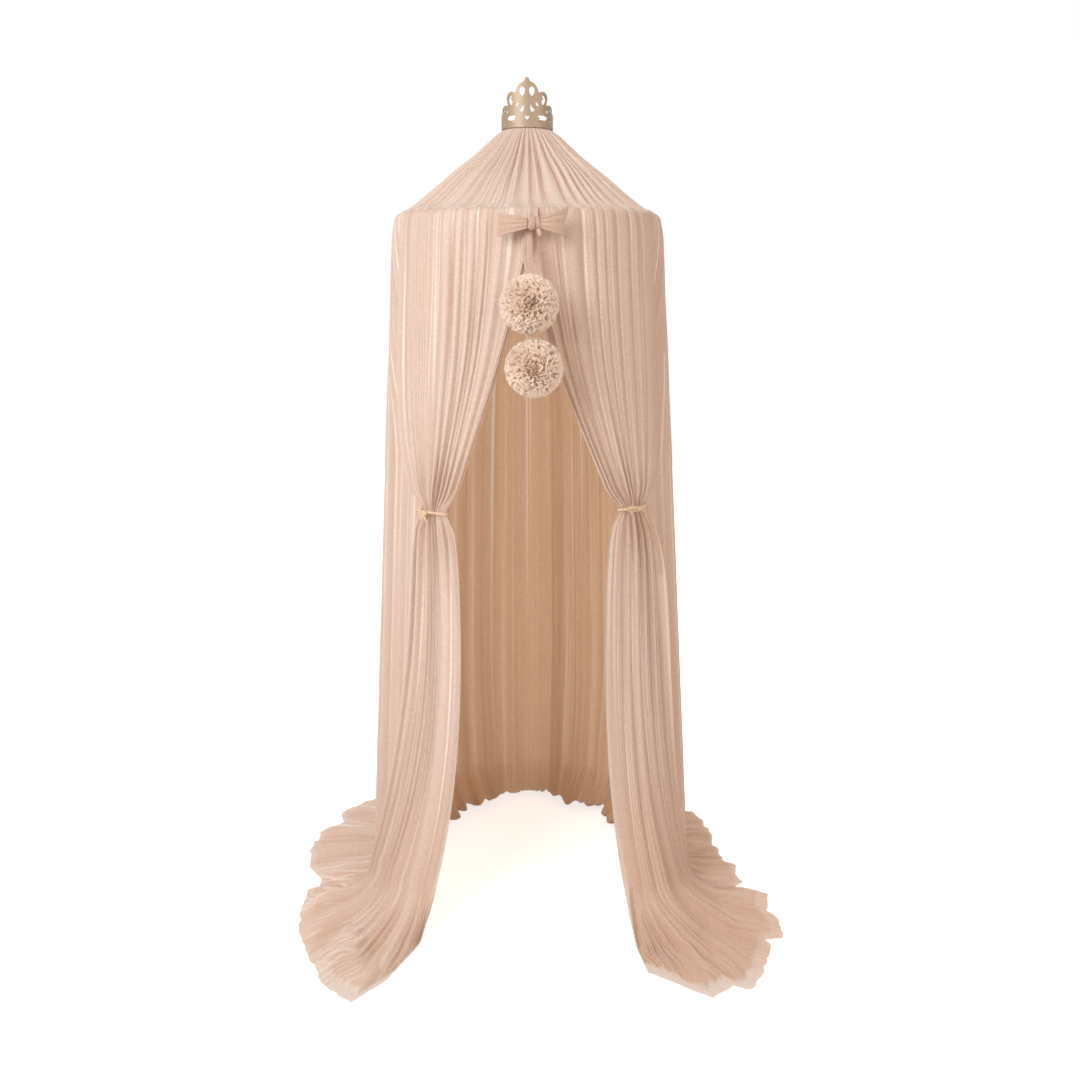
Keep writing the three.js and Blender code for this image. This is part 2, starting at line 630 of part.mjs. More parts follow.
const surfaceY = -drapeRadius(bowHeight);
const knotBackY = surfaceY - bow.frontGap;

// A puffed loop of the bow: narrow at the knot, full at its end
function bowLoop(sign, reach, tall) {
  const start = bow.offset + sign * (bow.knotWidth / 2 + clearance);
  const rings = 9;
  const sides = 12;
  const points = [];
  for (let i = 0; i <= rings; i++) {
    const share = i / rings;
    const swell = Math.sin(Math.min(1, share * 1.08 + 0.12) * Math.PI / 2);
    const close = Math.sqrt(Math.max(0.02, 1 - Math.max(0, (share - 0.82) / 0.18) ** 2 * 0.9));
    const halfTall = mix(bow.waist, tall / 2, swell) * close;
    const puff = mix(bow.waist / 2, bow.puff, Math.sin(share * Math.PI * 0.85)) * close;
    for (let k = 0; k < sides; k++) {
      const turn = 2 * Math.PI * k / sides;
      points.push(new THREE.Vector3(start + sign * share * (reach - bow.knotWidth / 2),
        knotBackY - bow.knotDepth / 2 + puff * Math.cos(turn), bowZ + halfTall * Math.sin(turn)));
    }
  }
  const faces = [];
  for (let i = 0; i < rings; i++) {
    for (let k = 0; k < sides; k++) {
      const [a, b] = [i * sides + k, i * sides + ((k + 1) % sides)];
      faces.push(a, b, b + sides, a, b + sides, a + sides);
    }
  }
  for (let k = 1; k < sides - 1; k++) {
    faces.push(0, k + 1, k);
    faces.push(rings * sides, rings * sides + k, rings * sides + k + 1);
  }
  const geometry = new THREE.BufferGeometry();
  geometry.setAttribute('position', new THREE.BufferAttribute(
    new Float32Array(points.flatMap((p) => [p.x, p.y, p.z])), 3));
  geometry.setIndex(faces);
  return faceOut(geometry);
}

// A block with rounded upright edges
function roundedBlock(width, depth, height, x, y, z) {
  const round = Math.min(width, height) / 4;
  const [w, h] = [width / 2, height / 2];
  const shape = new THREE.Shape()
    .moveTo(-w + round, -h).lineTo(w - round, -h).quadraticCurveTo(w, -h, w, -h + round)
    .lineTo(w, h - round).quadraticCurveTo(w, h, w - round, h)
    .lineTo(-w + round, h).quadraticCurveTo(-w, h, -w, h - round)
    .lineTo(-w, -h + round).quadraticCurveTo(-w, -h, -w + round, -h);
  return new THREE.ExtrudeGeometry(shape, { depth, bevelEnabled: false, curveSegments: 4 })
    .rotateX(Math.PI / 2)
    .translate(x, y + depth / 2, z);
}

// The knot, with the sewn stem behind it that the straps hang on
function bowKnot(cloths) {
  const knot = roundedBlock(bow.knotWidth, bow.knotDepth, bow.knotHeight,
    bow.offset, knotBackY - bow.knotDepth / 2, bowZ);
  const length = bow.frontGap + cutOverrun + 2 * curtain.upperFold;
  const peg = new THREE.CylinderGeometry(stem.radius, stem.radius, length, 16)
    .translate(stem.offset, knotBackY + length / 2 - cutOverrun, bowZ);
  let solid = toSolid(knot).add(toSolid(peg));
  for (const sheet of cloths) {
    for (let back = -clearance; back < length; back += clearance) {
      solid = solid.subtract(toSolid(sheet).translate([0, back, 0]));
    }
  }
  const parts = solid.decompose();
  const front = parts.sort((a, b) => a.boundingBox().min[1] - b.boundingBox().min[1])[0];
  return toGeometry(front);
}

const strapY = knotBackY + clearance + strap.thickness / 2;
const pompomY = -(drapeRadius(bowHeight - pompom.upperDrop) + pompom.radius + pompom.back - clearance);
const upperCentre = new THREE.Vector3(stem.offset + pompom.upperShift, pompomY, bowZ - pompom.upperDrop);
const lowerCentre = new THREE.Vector3(stem.offset + pompom.lowerShift, pompomY,
  upperCentre.z - 2 * pompom.radius - pompom.gap);
const upperTop = upperCentre.z + pompom.radius;

// A flat band of ribbon through points in the plane that the width lies square to
function ribbonThrough(points, width, thickness) {
  const outline = [];
  const side = (sign) => points.map((p, i) => {
    const before = points[Math.max(0, i - 1)];
    const after = points[Math.min(points.length - 1, i + 1)];
    const square = new THREE.Vector2(-(after.y - before.y), after.x - before.x).normalize();
    return p.clone().addScaledVector(square, sign * thickness / 2);
  });
  outline.push(...side(1), ...side(-1).reverse());
  return new THREE.ExtrudeGeometry(new THREE.Shape(outline), { depth: width, bevelEnabled: false })
    .translate(0, 0, -width / 2);
}

// A ribbon that hangs on the stem, leans forward and goes into the top of the upper pompom
function strapBody(width, shift, layer, slack) {
  const y = strapY + layer * (strap.thickness + clearance);
  const route = [
    new THREE.Vector2(y, bowZ),
    new THREE.Vector2(y, bowZ - strap.straight),
    new THREE.Vector2(mix(y, pompomY, 0.55), mix(bowZ - strap.straight, upperTop, 0.6)),
    new THREE.Vector2(pompomY, upperTop),
    new THREE.Vector2(pompomY, upperTop - pompom.slotDepth - slack),
  ];
  // drawn in the plane of depth and height, with its width along X
  return ribbonThrough(route, width + 2 * slack, strap.thickness + 2 * slack)
    .applyMatrix4(new THREE.Matrix4().set(0, 0, 1, 0, 1, 0, 0, 0, 0, 1, 0, 0, 0, 0, 0, 1))
    .translate(stem.offset + shift, 0, 0);
}

function hungStrap(width, shift, layer) {
  const y = strapY + layer * (strap.thickness + clearance);
  const disk = (radius, thickness) => toSolid(new THREE.CylinderGeometry(radius, radius, thickness, 20)
    .translate(stem.offset, y, bowZ));
  return toGeometry(toSolid(strapBody(width, shift, layer, 0))
    .add(disk(strap.headRadius, strap.thickness))
    .subtract(disk(stem.radius + clearance, strap.thickness + 2 * cutOverrun)));
}

// A round pompom of cut net: a ball whose pile stands out unevenly, less so at its poles
function pompomBall(centre) {
  const ball = BufferGeometryUtils.mergeVertices(withoutExtras(
    new THREE.IcosahedronGeometry(pompom.radius, Math.round(pompom.detail))));
  const position = ball.attributes.position;
  const point = new THREE.Vector3();
  for (let i = 0; i < position.count; i++) {
    point.fromBufferAttribute(position, i);
    const unit = point.clone().normalize();
    const uneven = Math.sin(9 * unit.x + 4 * unit.z) * Math.cos(8 * unit.y - 3 * unit.x) - 1;
    point.addScaledVector(unit, pompom.pile * uneven * (1 - unit.z * unit.z)).add(centre);
    position.setXYZ(i, point.x, point.y, point.z);
  }
  ball.computeVertexNormals();
  return ball;
}

const facetShare = 0.993; // the flats of the ball lie a little inside its radius
// A short link of ribbon, buried in the lower pompom: it turns under the upper one on a round end
const linkPivot = new THREE.Vector3(lowerCentre.x / 2 + upperCentre.x / 2, pompomY,
  upperCentre.z - pompom.radius * facetShare - clearance - strap.sideWidth / 2);

function linkBody(slack) {
  const bottom = lowerCentre.z + pompom.radius - pompom.slotDepth - slack;
  const width = strap.sideWidth + 2 * slack;
  const thickness = strap.thickness + 2 * slack;
  const band = new THREE.BoxGeometry(width, thickness, linkPivot.z - bottom)
    .translate(linkPivot.x, linkPivot.y, (linkPivot.z + bottom) / 2);
  const end = new THREE.CylinderGeometry(width / 2, width / 2, thickness, 16)
    .translate(linkPivot.x, linkPivot.y, linkPivot.z);
  return toSolid(band).add(toSolid(end));
}

// Ties

const gatheredDepth = curtain.tieFold + tie.endDepth + halfCloth; // half the depth of the gathered curtain

// A closed ribbon round the gathered curtain
function tieBand(sheet) {
  const long = tie.width / 2 + tie.endDepth + halfCloth + tie.slack;
  const deep = gatheredDepth + tie.slack;
  const oval = (grow, reverse) => new THREE.Path().absellipse(0, 0, long + grow, deep + grow, 0, 2 * Math.PI, reverse);
  const shape = new THREE.Shape(oval(tie.bandThickness, false).getPoints(28));
  shape.holes.push(new THREE.Path(oval(0, true).getPoints(28)));
  return new THREE.ExtrudeGeometry(shape, { depth: tie.band, bevelEnabled: false })
    .rotateZ(Math.atan2(sheet.along.y, sheet.along.x))
    .translate(sheet.tieCentre.x, sheet.tieCentre.y, tieZ - tie.band / 2);
}

// A small ribbon bow in front of the band: a knot, two loops and two tails
function tieBow(sheet, sign) {
  const deep = gatheredDepth + tie.slack + tie.bandThickness + clearance;
  const out = new THREE.Vector3(sheet.along.y, -sheet.along.x, 0).multiplyScalar(sign);
  const at = sheet.tieCentre.clone().addScaledVector(out, deep + tie.knot / 4);
  const turn = Math.atan2(sheet.along.y, sheet.along.x);
  let solid = toSolid(new THREE.SphereGeometry(tie.knot / 2, 8, 6).scale(1, 0.5, 0.8));
  for (const hand of [-1, 1]) {
    const loop = new THREE.SphereGeometry(tie.loop / 2, 8, 6).scale(1, 0.28, 0.42)
      .rotateY(hand * 0.2)
      .translate(hand * (tie.loop / 2 + tie.knot / 6), 0, 0);
    const tail = new THREE.BoxGeometry(tie.band, tie.bandThickness, tie.tail)
      .translate(0, 0, -tie.tail / 2)
      .rotateY(-hand * 0.55);
    solid = solid.add(toSolid(loop)).add(toSolid(tail));
  }
  return toGeometry(solid).rotateZ(turn).translate(at.x, at.y, at.z);
}

// The long end of ribbon that falls from the right-hand bow, beside the leg
function tieTail(sheet) {
  const deep = gatheredDepth + tie.slack + tie.bandThickness + clearance + tie.knot / 4;
  const out = new THREE.Vector3(sheet.along.y, -sheet.along.x, 0);
  const at = sheet.tieCentre.clone().addScaledVector(out, deep);
  const start = tie.loop + tie.knot / 6 + clearance;
  const route = [[0, 0], [0.2, -0.01], [0.42, -0.09], [0.64, -0.33], [0.84, -0.66], [1, -1]]
    .map(([across, fall]) => new THREE.Vector2(mix(start, longTail.reach, across), fall * longTail.length));
  return ribbonThrough(route, longTail.thickness, longTail.width)
    .rotateX(Math.PI / 2)
    .rotateZ(Math.atan2(sheet.along.y, sheet.along.x))
    .translate(at.x, at.y, at.z);
}

// Putting it together

addMesh('hanging_eye', hangingEye(), finishes.steel);
addMesh('upper_washer', bored(standing(washer.radius, discTop + clearance, washer.thickness),
  discTop, washer.thickness), finishes.steel);
addMesh('top_disc', bored(topDisc(), discBottom, disc.thickness), finishes.wood);
addMesh('lower_washer', bored(standing(washer.radius, lowerWasherTop - washer.thickness, washer.thickness),
  lowerWasherTop - washer.thickness, washer.thickness), finishes.steel);
addMesh('eye_nut', bored(standing(nut.acrossCorners / 2, nutTop - nut.height, nut.height, 6),
  nutTop - nut.height, nut.height), finishes.steel);

const roofPiece = roofSheet();
addMesh('roof', roofPiece.geometry, finishes.tulle);
const bindingInner = roofPiece.throat + roof.throatFold + halfCloth + clearance;
addMesh('roof_binding', ring(bindingInner, bindingInner + binding.thickness,
  (discTop + discBottom - binding.width) / 2, binding.width, 36), finishes.satin);
addMesh('crown_band', crownBand(), finishes.gold);

addMesh('hoop_half_front', hoopHalf(Math.PI), finishes.plastic);
addMesh('hoop_half_back', hoopHalf(0), finishes.plastic);
addMesh('hoop_ferrule_left', hoopFerrule(Math.PI), finishes.plastic);
addMesh('hoop_ferrule_right', hoopFerrule(0), finishes.plastic);
addMesh('hoop_casing', hoopCasing(), finishes.lining);

const curtains = {};
for (const side of ['left', 'right']) {
  const sheet = curtainSheet(side);
  curtains[side] = sheet;
  addMesh(`${side}_curtain`, sheet.geometry, finishes.tulle);
  addMesh(`back_drape_${side}`, drapeSheet(side), finishes.lining);
  addMesh(`tie_band_${side}`, tieBand(sheet), finishes.satin);
  addMesh(`tie_bow_${side}`, tieBow(sheet, sideSign[side]), finishes.satin);
}

addMesh('bow_loop_left', bowLoop(-1, bow.leftReach, bow.leftHeight), finishes.tulle);
addMesh('bow_loop_right', bowLoop(1, bow.rightReach, bow.rightHeight), finishes.tulle);
addMesh('bow_knot', bowKnot([curtains.left.geometry, curtains.right.geometry]), finishes.tulle);

addMesh('upper_strap', hungStrap(strap.width, 0, 0), finishes.satin);
addMesh('side_strap', hungStrap(strap.sideWidth, strap.sideShift, 1), finishes.satin);
addMesh('upper_pompom', toGeometry(toSolid(pompomBall(upperCentre))
  .subtract(toSolid(strapBody(strap.width, 0, 0, clearance)))
  .subtract(toSolid(strapBody(strap.sideWidth, strap.sideShift, 1, clearance)))), finishes.tulle);
addMesh('pompom_link', toGeometry(linkBody(0)), finishes.satin);
addMesh('lower_pompom', toGeometry(toSolid(pompomBall(lowerCentre)).subtract(linkBody(clearance))),
  finishes.tulle);
addMesh('tie_tail_right', tieTail(curtains.right), finishes.satin);

export default group;
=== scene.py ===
import math

import bpy
import numpy as np
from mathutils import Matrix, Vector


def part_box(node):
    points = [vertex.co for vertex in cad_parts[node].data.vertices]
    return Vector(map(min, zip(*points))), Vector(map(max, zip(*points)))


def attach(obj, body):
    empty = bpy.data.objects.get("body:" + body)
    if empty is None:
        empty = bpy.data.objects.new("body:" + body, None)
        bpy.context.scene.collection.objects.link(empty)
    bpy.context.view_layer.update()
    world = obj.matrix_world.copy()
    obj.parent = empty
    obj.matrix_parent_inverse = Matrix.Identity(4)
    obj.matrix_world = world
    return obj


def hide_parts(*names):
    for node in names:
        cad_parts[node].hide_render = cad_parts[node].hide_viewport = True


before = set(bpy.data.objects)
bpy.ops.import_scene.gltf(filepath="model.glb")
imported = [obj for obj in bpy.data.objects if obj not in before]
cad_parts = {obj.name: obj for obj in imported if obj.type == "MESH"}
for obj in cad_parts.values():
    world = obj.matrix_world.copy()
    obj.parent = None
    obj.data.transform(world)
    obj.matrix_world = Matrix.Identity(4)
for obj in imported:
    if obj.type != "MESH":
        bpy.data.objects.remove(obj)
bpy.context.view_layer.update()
scene = bpy.context.scene
print("frame loaded")


# Puts a mesh, a lamp or a camera into the scene.
def addObject(name, data):
    thing = bpy.data.objects.new(name, data)
    scene.collection.objects.link(thing)
    return thing


# A tree of shader nodes. add makes a node and fills its sockets, each with a value or with another
# node's output. calc is the result of a Math node, blend that of a mix of two colours, and noise is
# a noise texture's value at a place.
class Shader:
    def __init__(self, tree):
        self.nodes = tree.nodes
        self.links = tree.links

    def add(self, kind, sockets=None, **settings):
        node = self.nodes.new("ShaderNode" + kind)
        for key, value in settings.items():
            setattr(node, key, value)
        for key, value in (sockets or {}).items():
            self.fill(node.inputs[key], value)
        return node

    def fill(self, socket, value):
        if isinstance(value, bpy.types.NodeSocket):
            self.links.new(value, socket)
        else:
            socket.default_value = value

    def calc(self, operation, *values):
        return self.add("Math", dict(enumerate(values)), operation=operation).outputs[0]

    def blend(self, share, first, second):
        node = self.add("Mix", {"Factor": share}, data_type="RGBA")
        sockets = {socket.identifier: socket for socket in node.inputs}
        for key, colour in (("A_Color", first), ("B_Color", second)):
            self.fill(sockets[key], (*colour, 1) if isinstance(colour, tuple) else colour)
        return {socket.identifier: socket for socket in node.outputs}["Result_Color"]

    def noise(self, place, scale, detail=2.0):
        return self.add("TexNoise", {"Vector": place, "Scale": scale, "Detail": detail}).outputs["Fac"]

    def stretched(self, place, scale):
        return self.add("Mapping", {"Vector": place, "Scale": scale}).outputs[0]

    def value(self, name):
        return self.add("Attribute", attribute_name=name).outputs["Fac"]

    def place(self, reads="Object"):
        return self.add("TexCoord").outputs[reads]

    def bumped(self, height, strength, depth):
        return self.add("Bump", {"Height": height, "Strength": strength, "Distance": depth}).outputs[0]

    # cloth that lets a share of the light through
    def lit(self, front, back, through):
        return self.add("MixShader", {0: through, 1: front.outputs[0], 2: back.outputs[0]})

    def show(self, surface):
        self.add("OutputMaterial", {"Surface": surface.outputs[0]})


# A material with an empty node tree, and the shader that fills it.
def newMaterial(name):
    material = bpy.data.materials.new(name)
    material.use_nodes = True
    material.node_tree.nodes.clear()
    return material, Shader(material.node_tree)


# camera, light and floor

photo = {
    "distance": 3.0,        # metres from the lens to the canopy's axis
    "sideways": 0.031,      # how far to the right of it the lens is
    "eyeHeight": 1.566,     # lens above the floor
    "pitch": 12.5,          # degrees down
    "lens": 38.87,          # millimetres, before a sensor this wide
    "sensor": 36.0,
    "hangHeight": 1.965,    # floor to the hook
}
floorZ = -photo["hangHeight"]

cameraData = bpy.data.cameras.new("camera")
cameraData.lens = photo["lens"]
cameraData.sensor_width = photo["sensor"]
camera = addObject("camera", cameraData)
camera.location = (photo["sideways"], -photo["distance"], floorZ + photo["eyeHeight"])
camera.rotation_euler = (math.radians(90 - photo["pitch"]), 0, 0)
scene.camera = camera
scene.view_settings.view_transform = "Standard"

lights = {
    # name: place, what it points at, width, power in watts, colour
    "keyLight": ((-2.3, -2.9, 1.1), (0, 0, -0.8), 2.4, 137, (0.95, 0.98, 1.0)),
    "fillLight": ((2.6, -2.6, 0.4), (0, 0, -1.0), 2.6, 36, (1.0, 0.90, 0.80)),
    "backLight": ((0.3, 3.0, 1.4), (0, 0, -0.8), 2.4, 60, (1.0, 0.99, 0.98)),
}
worldLight = (0.56, 0.475, 0.425)       # the soft light all round, brightness by colour
floorLook = {
    "colour": (0.86, 0.86, 0.86),
    "glow": 0.67,           # near the axis, rising to 1 further out
    "glowNear": 2.2,
    "glowFar": 3.6,
    "size": 14.0,
    "below": 0.001,         # under the lowest cloth
}


# The turn that makes a lamp's -Z axis look from place to target: its height over the level way
# gives the tilt, and the level way gives the heading.
def pointAt(place, target):
    gap = np.subtract(target, place)
    flat = math.hypot(gap[0], gap[1])
    return (math.pi / 2 + math.atan2(gap[2], flat), 0, math.atan2(gap[1], gap[0]) - math.pi / 2)


for lampName, (place, target, width, power, colour) in lights.items():
    lampData = bpy.data.lights.new(lampName, "AREA")
    lampData.shape = "SQUARE"
    lampData.size = width
    lampData.energy = power
    lampData.color = colour
    lamp = addObject(lampName, lampData)
    lamp.location = place
    lamp.rotation_euler = pointAt(place, target)


# 1 for camera, glossy and transmission rays and 0 for the rest: the largest of the three.
def seenDirectly(shader):
    ray = shader.add("LightPath").outputs
    first = shader.calc("MAXIMUM", ray["Is Camera Ray"], ray["Is Glossy Ray"])
    return shader.calc("MAXIMUM", first, ray["Is Transmission Ray"])


# White where it is seen, the soft light elsewhere.
def makeWorld():
    world = bpy.data.worlds.new("studio")
    world.use_nodes = True
    shader = Shader(world.node_tree)
    background = shader.nodes["Background"]
    background.inputs["Strength"].default_value = 1.0
    shader.fill(background.inputs["Color"], shader.blend(seenDirectly(shader), worldLight, (1, 1, 1)))
    return world


# A matt floor that glows where it is seen. The glow rises in an S curve with the distance.
def makeFloorFinish(look):
    material, shader = newMaterial("paleFloor")
    reach = shader.add("VectorMath", {0: shader.place()}, operation="LENGTH").outputs["Value"]
    glow = shader.add("MapRange", {
        "Value": reach, "From Min": look["glowNear"], "From Max": look["glowFar"],
        "To Min": look["glow"], "To Max": 1.0}, interpolation_type="SMOOTHSTEP").outputs[0]
    shader.show(shader.add("BsdfPrincipled", {
        "Base Color": (*look["colour"], 1), "Roughness": 1.0, "Specular IOR Level": 0.0,
        "Emission Color": (1, 1, 1, 1),
        "Emission Strength": shader.calc("MULTIPLY", seenDirectly(shader), glow)}))
    return material


# The floor: a flat square a little below the cloth.
def makeFloor(look):
    half = look["size"] / 2
    z = floorZ - look["below"]
    mesh = bpy.data.meshes.new("floor")
    mesh.from_pydata([(-half, -half, z), (half, -half, z), (half, half, z), (-half, half, z)],
                     [], [(0, 1, 2, 3)])
    mesh.materials.append(makeFloorFinish(look))
    return addObject("floor", mesh)


scene.world = makeWorld()
makeFloor(floorLook)
print("camera, light and floor placed")

# helpers for shapes


# From a at share 0 to b at share 1, in a straight line.
def mix(a, b, share):
    return a + (b - a) * share


# 0 below 0, 1 above 1 and an S curve between.
def smooth(share):
    s = np.clip(share, 0, 1)
    return s * s * (3 - 2 * s)


# Smooth noise of about -1 to 1: a sum of sines of x, their rates spread from low to high.
def wander(x, seed, low, high, count=7):
    draw = np.random.default_rng(seed)
    total = np.zeros(np.shape(x))
    for rate, phase in zip(np.geomspace(low, high, count), draw.uniform(0, 2 * np.pi, count)):
        total = total + np.sin(rate * x + phase)
    return total / math.sqrt(count / 2) / 1.6


# A gather of cloth: round on top and creased at the bottom, from -1 to 1, as twice |cos| less 1.
def crest(phase, soft=0.03):
    return 2 * np.sqrt(np.cos(phase / 2) ** 2 + soft) / math.sqrt(1 + soft) - 1


# Points (..., 3) of numbers or grids x, y and z.
def asPoints(x, y, z):
    return np.stack(np.broadcast_arrays(x, y, z), axis=-1)


# Points at an angle from the front on one side, at a radius from the axis and a height.
def atAngle(sign, angle, radius, z):
    return asPoints(sign * radius * np.sin(angle), -radius * np.cos(angle), z)


# Vectors divided by their own length.
def unit(vectors):
    length = np.linalg.norm(vectors, axis=-1, keepdims=True)
    return vectors / np.maximum(length, 1e-9)


# Unit normals of a grid of points: across its slopes down the rows and over the columns.
def surfaceNormals(points):
    return unit(np.cross(np.gradient(points, axis=0), np.gradient(points, axis=1)))


# Smooth curve through a table of points, at shares of its length: cubic pieces whose tangents
# weigh each neighbour by the root of its distance.
def throughPoints(table, share):
    points = np.asarray(table, float)
    ends = np.vstack([2 * points[0] - points[1], points, 2 * points[-1] - points[-2]])
    place = np.clip(share, 0, 1) * (len(points) - 1)
    low = np.minimum(place.astype(int), len(points) - 2)
    t = (place - low)[:, None]
    a, b, c, d = (ends[low + k] for k in range(4))
    first, middle, last = (
        np.maximum(np.sqrt(np.linalg.norm(q - p, axis=1)), 1e-4)[:, None]
        for p, q in ((a, b), (b, c), (c, d)))
    leave = ((b - a) / first - (c - a) / (first + middle) + (c - b) / middle) * middle
    arrive = ((c - b) / middle - (d - b) / (middle + last) + (d - c) / last) * middle
    return (b + leave * t + (-3 * b + 3 * c - 2 * leave - arrive) * t ** 2
            + (2 * b - 2 * c + leave + arrive) * t ** 3)


# That curve as a number of points.
def pathThrough(points, count):
    return throughPoints(points, np.linspace(0, 1, count))


# Length of a path: its steps added up.
def lengthOf(path):
    return float(np.linalg.norm(np.diff(path, axis=0), axis=1).sum())


# A smooth mesh object from points (n, 3) and sets of faces (m, 3 or 4), with a UV for each corner
# and named values for each point.
def addMesh(name, points, faceSets, materials, uvSets=(), values=None):
    mesh = bpy.data.meshes.new(name)
    sizes = np.concatenate([np.full(len(faces), faces.shape[1]) for faces in faceSets])
    corners = np.concatenate([faces.ravel() for faces in faceSets])
    mesh.vertices.add(len(points))
    mesh.vertices.foreach_set("co", points.astype(np.float32).ravel())
    mesh.loops.add(len(corners))
    mesh.loops.foreach_set("vertex_index", corners.astype(np.int32))
    mesh.polygons.add(len(sizes))
    mesh.polygons.foreach_set("loop_start", (np.cumsum(sizes) - sizes).astype(np.int32))
    mesh.polygons.foreach_set("use_smooth", np.ones(len(sizes), bool))
    mesh.update(calc_edges=True)
    if len(uvSets):
        layer = mesh.uv_layers.new(name="cut")
        uvs = np.concatenate([uv.reshape(-1, 2) for uv in uvSets])
        layer.data.foreach_set("uv", uvs.astype(np.float32).ravel())
    for valueName, numbers in (values or {}).items():
        attribute = mesh.attributes.new(valueName, "FLOAT", "POINT")
        attribute.data.foreach_set("value", np.broadcast_to(numbers, len(points)).astype(np.float32))
    mesh.validate()
    for material in materials:
        mesh.materials.append(material)
    return addObject(name, mesh)


# Corner numbers (m, 4) of the quads of a grid, and their (row, column) places as shares.
def gridFaces(rows, columns, closedAcross=False, closedDown=False, flip=False):
    index = np.arange(rows * columns).reshape(rows, columns)
    if closedAcross:
        index = np.concatenate([index, index[:, :1]], axis=1)
    if closedDown:
        index = np.concatenate([index, index[:1]], axis=0)
    down, across = np.meshgrid(np.arange(index.shape[0]), np.arange(index.shape[1]), indexing="ij")
    order = [(0, 0), (1, 0), (1, 1), (0, 1)]
    if flip:
        order = order[::-1]
    lastRow, lastColumn = index.shape[0] - 1, index.shape[1] - 1

    def corners(grid):
        picked = [grid[r:lastRow + r, c:lastColumn + c] for r, c in order]
        return np.stack(picked, axis=-1).reshape(-1, 4)

    return corners(index), np.stack([corners(across) / lastColumn, corners(down) / lastRow], axis=-1)


# A sheet or tube on a grid of points (rows, columns, 3). Its UVs run over size, which sets how fine
# its threads and net look and isn't its flat size. Its values are numbers or grids. A capped tube
# ends in fans round the middle of its first and last rows.
def addGrid(name, points, material, size=(1, 1), closedAcross=False, closedDown=False, flip=False,
            values=None, capped=False):
    rows, columns = points.shape[:2]
    faces, shares = gridFaces(rows, columns, closedAcross, closedDown, flip)
    flatPoints = points.reshape(-1, 3)
    faceSets, uvSets = [faces], [shares * np.array(size)]
    if capped:
        count = rows * columns
        flatPoints = np.vstack([flatPoints, points[0].mean(axis=0), points[-1].mean(axis=0)])
        ring = np.arange(columns)
        after = np.roll(ring, -1)
        first = np.stack([ring, after, np.full(columns, count)], axis=1)
        last = np.stack([after, ring, np.full(columns, count + 1)], axis=1)
        last[:, :2] += (rows - 1) * columns
        for fan, v in ((first, 0), (last, size[1])):
            faceSets.append(fan[:, ::-1] if flip else fan)
            fanUv = np.stack([fan % columns / columns * size[0], np.full(fan.shape, v)], axis=-1)
            uvSets.append(fanUv[:, ::-1] if flip else fanUv)
    ends = [0, -1] if capped else []
    pointValues = {}
    for key, number in {"fold": 0.62, **(values or {})}.items():
        spread = np.broadcast_to(number, (rows, columns)).ravel()
        pointValues[key] = np.append(spread, spread[ends])
    return addMesh(name, flatPoints, faceSets, [material], uvSets, pointValues)


# Points of a flat band along a path: at each point of the path an oval with flattened sides, its
# long axis along across. Creases are waves over its width.
def sweep(path, across, halfWidth, halfThickness, ring=14, boxy=0.45, creases=0, closed=False):
    angle = np.linspace(0, 2 * np.pi, ring, endpoint=False)[None, :]
    side = np.sign(np.cos(angle)) * np.abs(np.cos(angle)) ** boxy
    face = np.sign(np.sin(angle)) * np.abs(np.sin(angle)) ** boxy
    if closed:
        ahead = unit(np.roll(path, -1, axis=0) - np.roll(path, 1, axis=0))
    else:
        ahead = unit(np.gradient(path, axis=0))
    across = unit(across - ahead * (across * ahead).sum(-1, keepdims=True))
    out = np.cross(across, ahead)
    halfWidth = np.broadcast_to(halfWidth, len(path))[:, None, None]
    halfThickness = np.broadcast_to(halfThickness, len(path))[:, None, None]
    lift = halfThickness[..., 0] * (face + creases * np.cos(3 * np.pi * side))
    return path[:, None] + across[:, None] * halfWidth * side[..., None] + out[:, None] * lift[..., None]


# A ribbon along a path, closed to a ring or capped at both ends. Its section is what sweep takes.
def addRibbon(name, path, across, halfWidth, halfThickness, material, size, closed=False, values=None,
              **section):
    across = np.broadcast_to(np.asarray(across, float), path.shape)
    points = sweep(path, across, halfWidth, halfThickness, closed=closed, **section)
    return addGrid(name, points, material, size, closedAcross=True, closedDown=closed,
                   capped=not closed, values=values)


# A closed ball: rings from the top to the bottom, less its two ends, which are capped.
def ballPoints(centre, radii, rows=24, columns=40):
    down = np.linspace(0, np.pi, rows + 2)[1:-1, None]
    turn = np.linspace(0, 2 * np.pi, columns, endpoint=False)[None, :]
    shape = asPoints(np.sin(down) * np.cos(turn), np.sin(down) * np.sin(turn), np.cos(down))
    return np.asarray(centre) + shape * np.asarray(radii)


# Gives a sheet its thickness and keeps the result in the mesh. An offset of -1 puts it inwards from
# the outer face, and rim is the place of the material on the cut edge.
def thicken(piece, thickness, offset, rim=0):
    solid = piece.modifiers.new("thickness", "SOLIDIFY")
    solid.thickness = thickness
    solid.offset = offset
    solid.use_even_offset = False
    solid.material_offset_rim = rim
    bpy.context.view_layer.update()
    finished = bpy.data.meshes.new_from_object(
        piece.evaluated_get(bpy.context.evaluated_depsgraph_get()))
    piece.modifiers.clear()
    piece.data = finished


# Area of a mesh: its faces added up.
def areaOf(piece):
    return sum(face.area for face in piece.data.polygons)


# Puts a piece on the body that it rides on, and hides the node that it stands for, if any.
def settle(piece, body, node=None):
    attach(piece, body)
    if node:
        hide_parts(node)


# materials

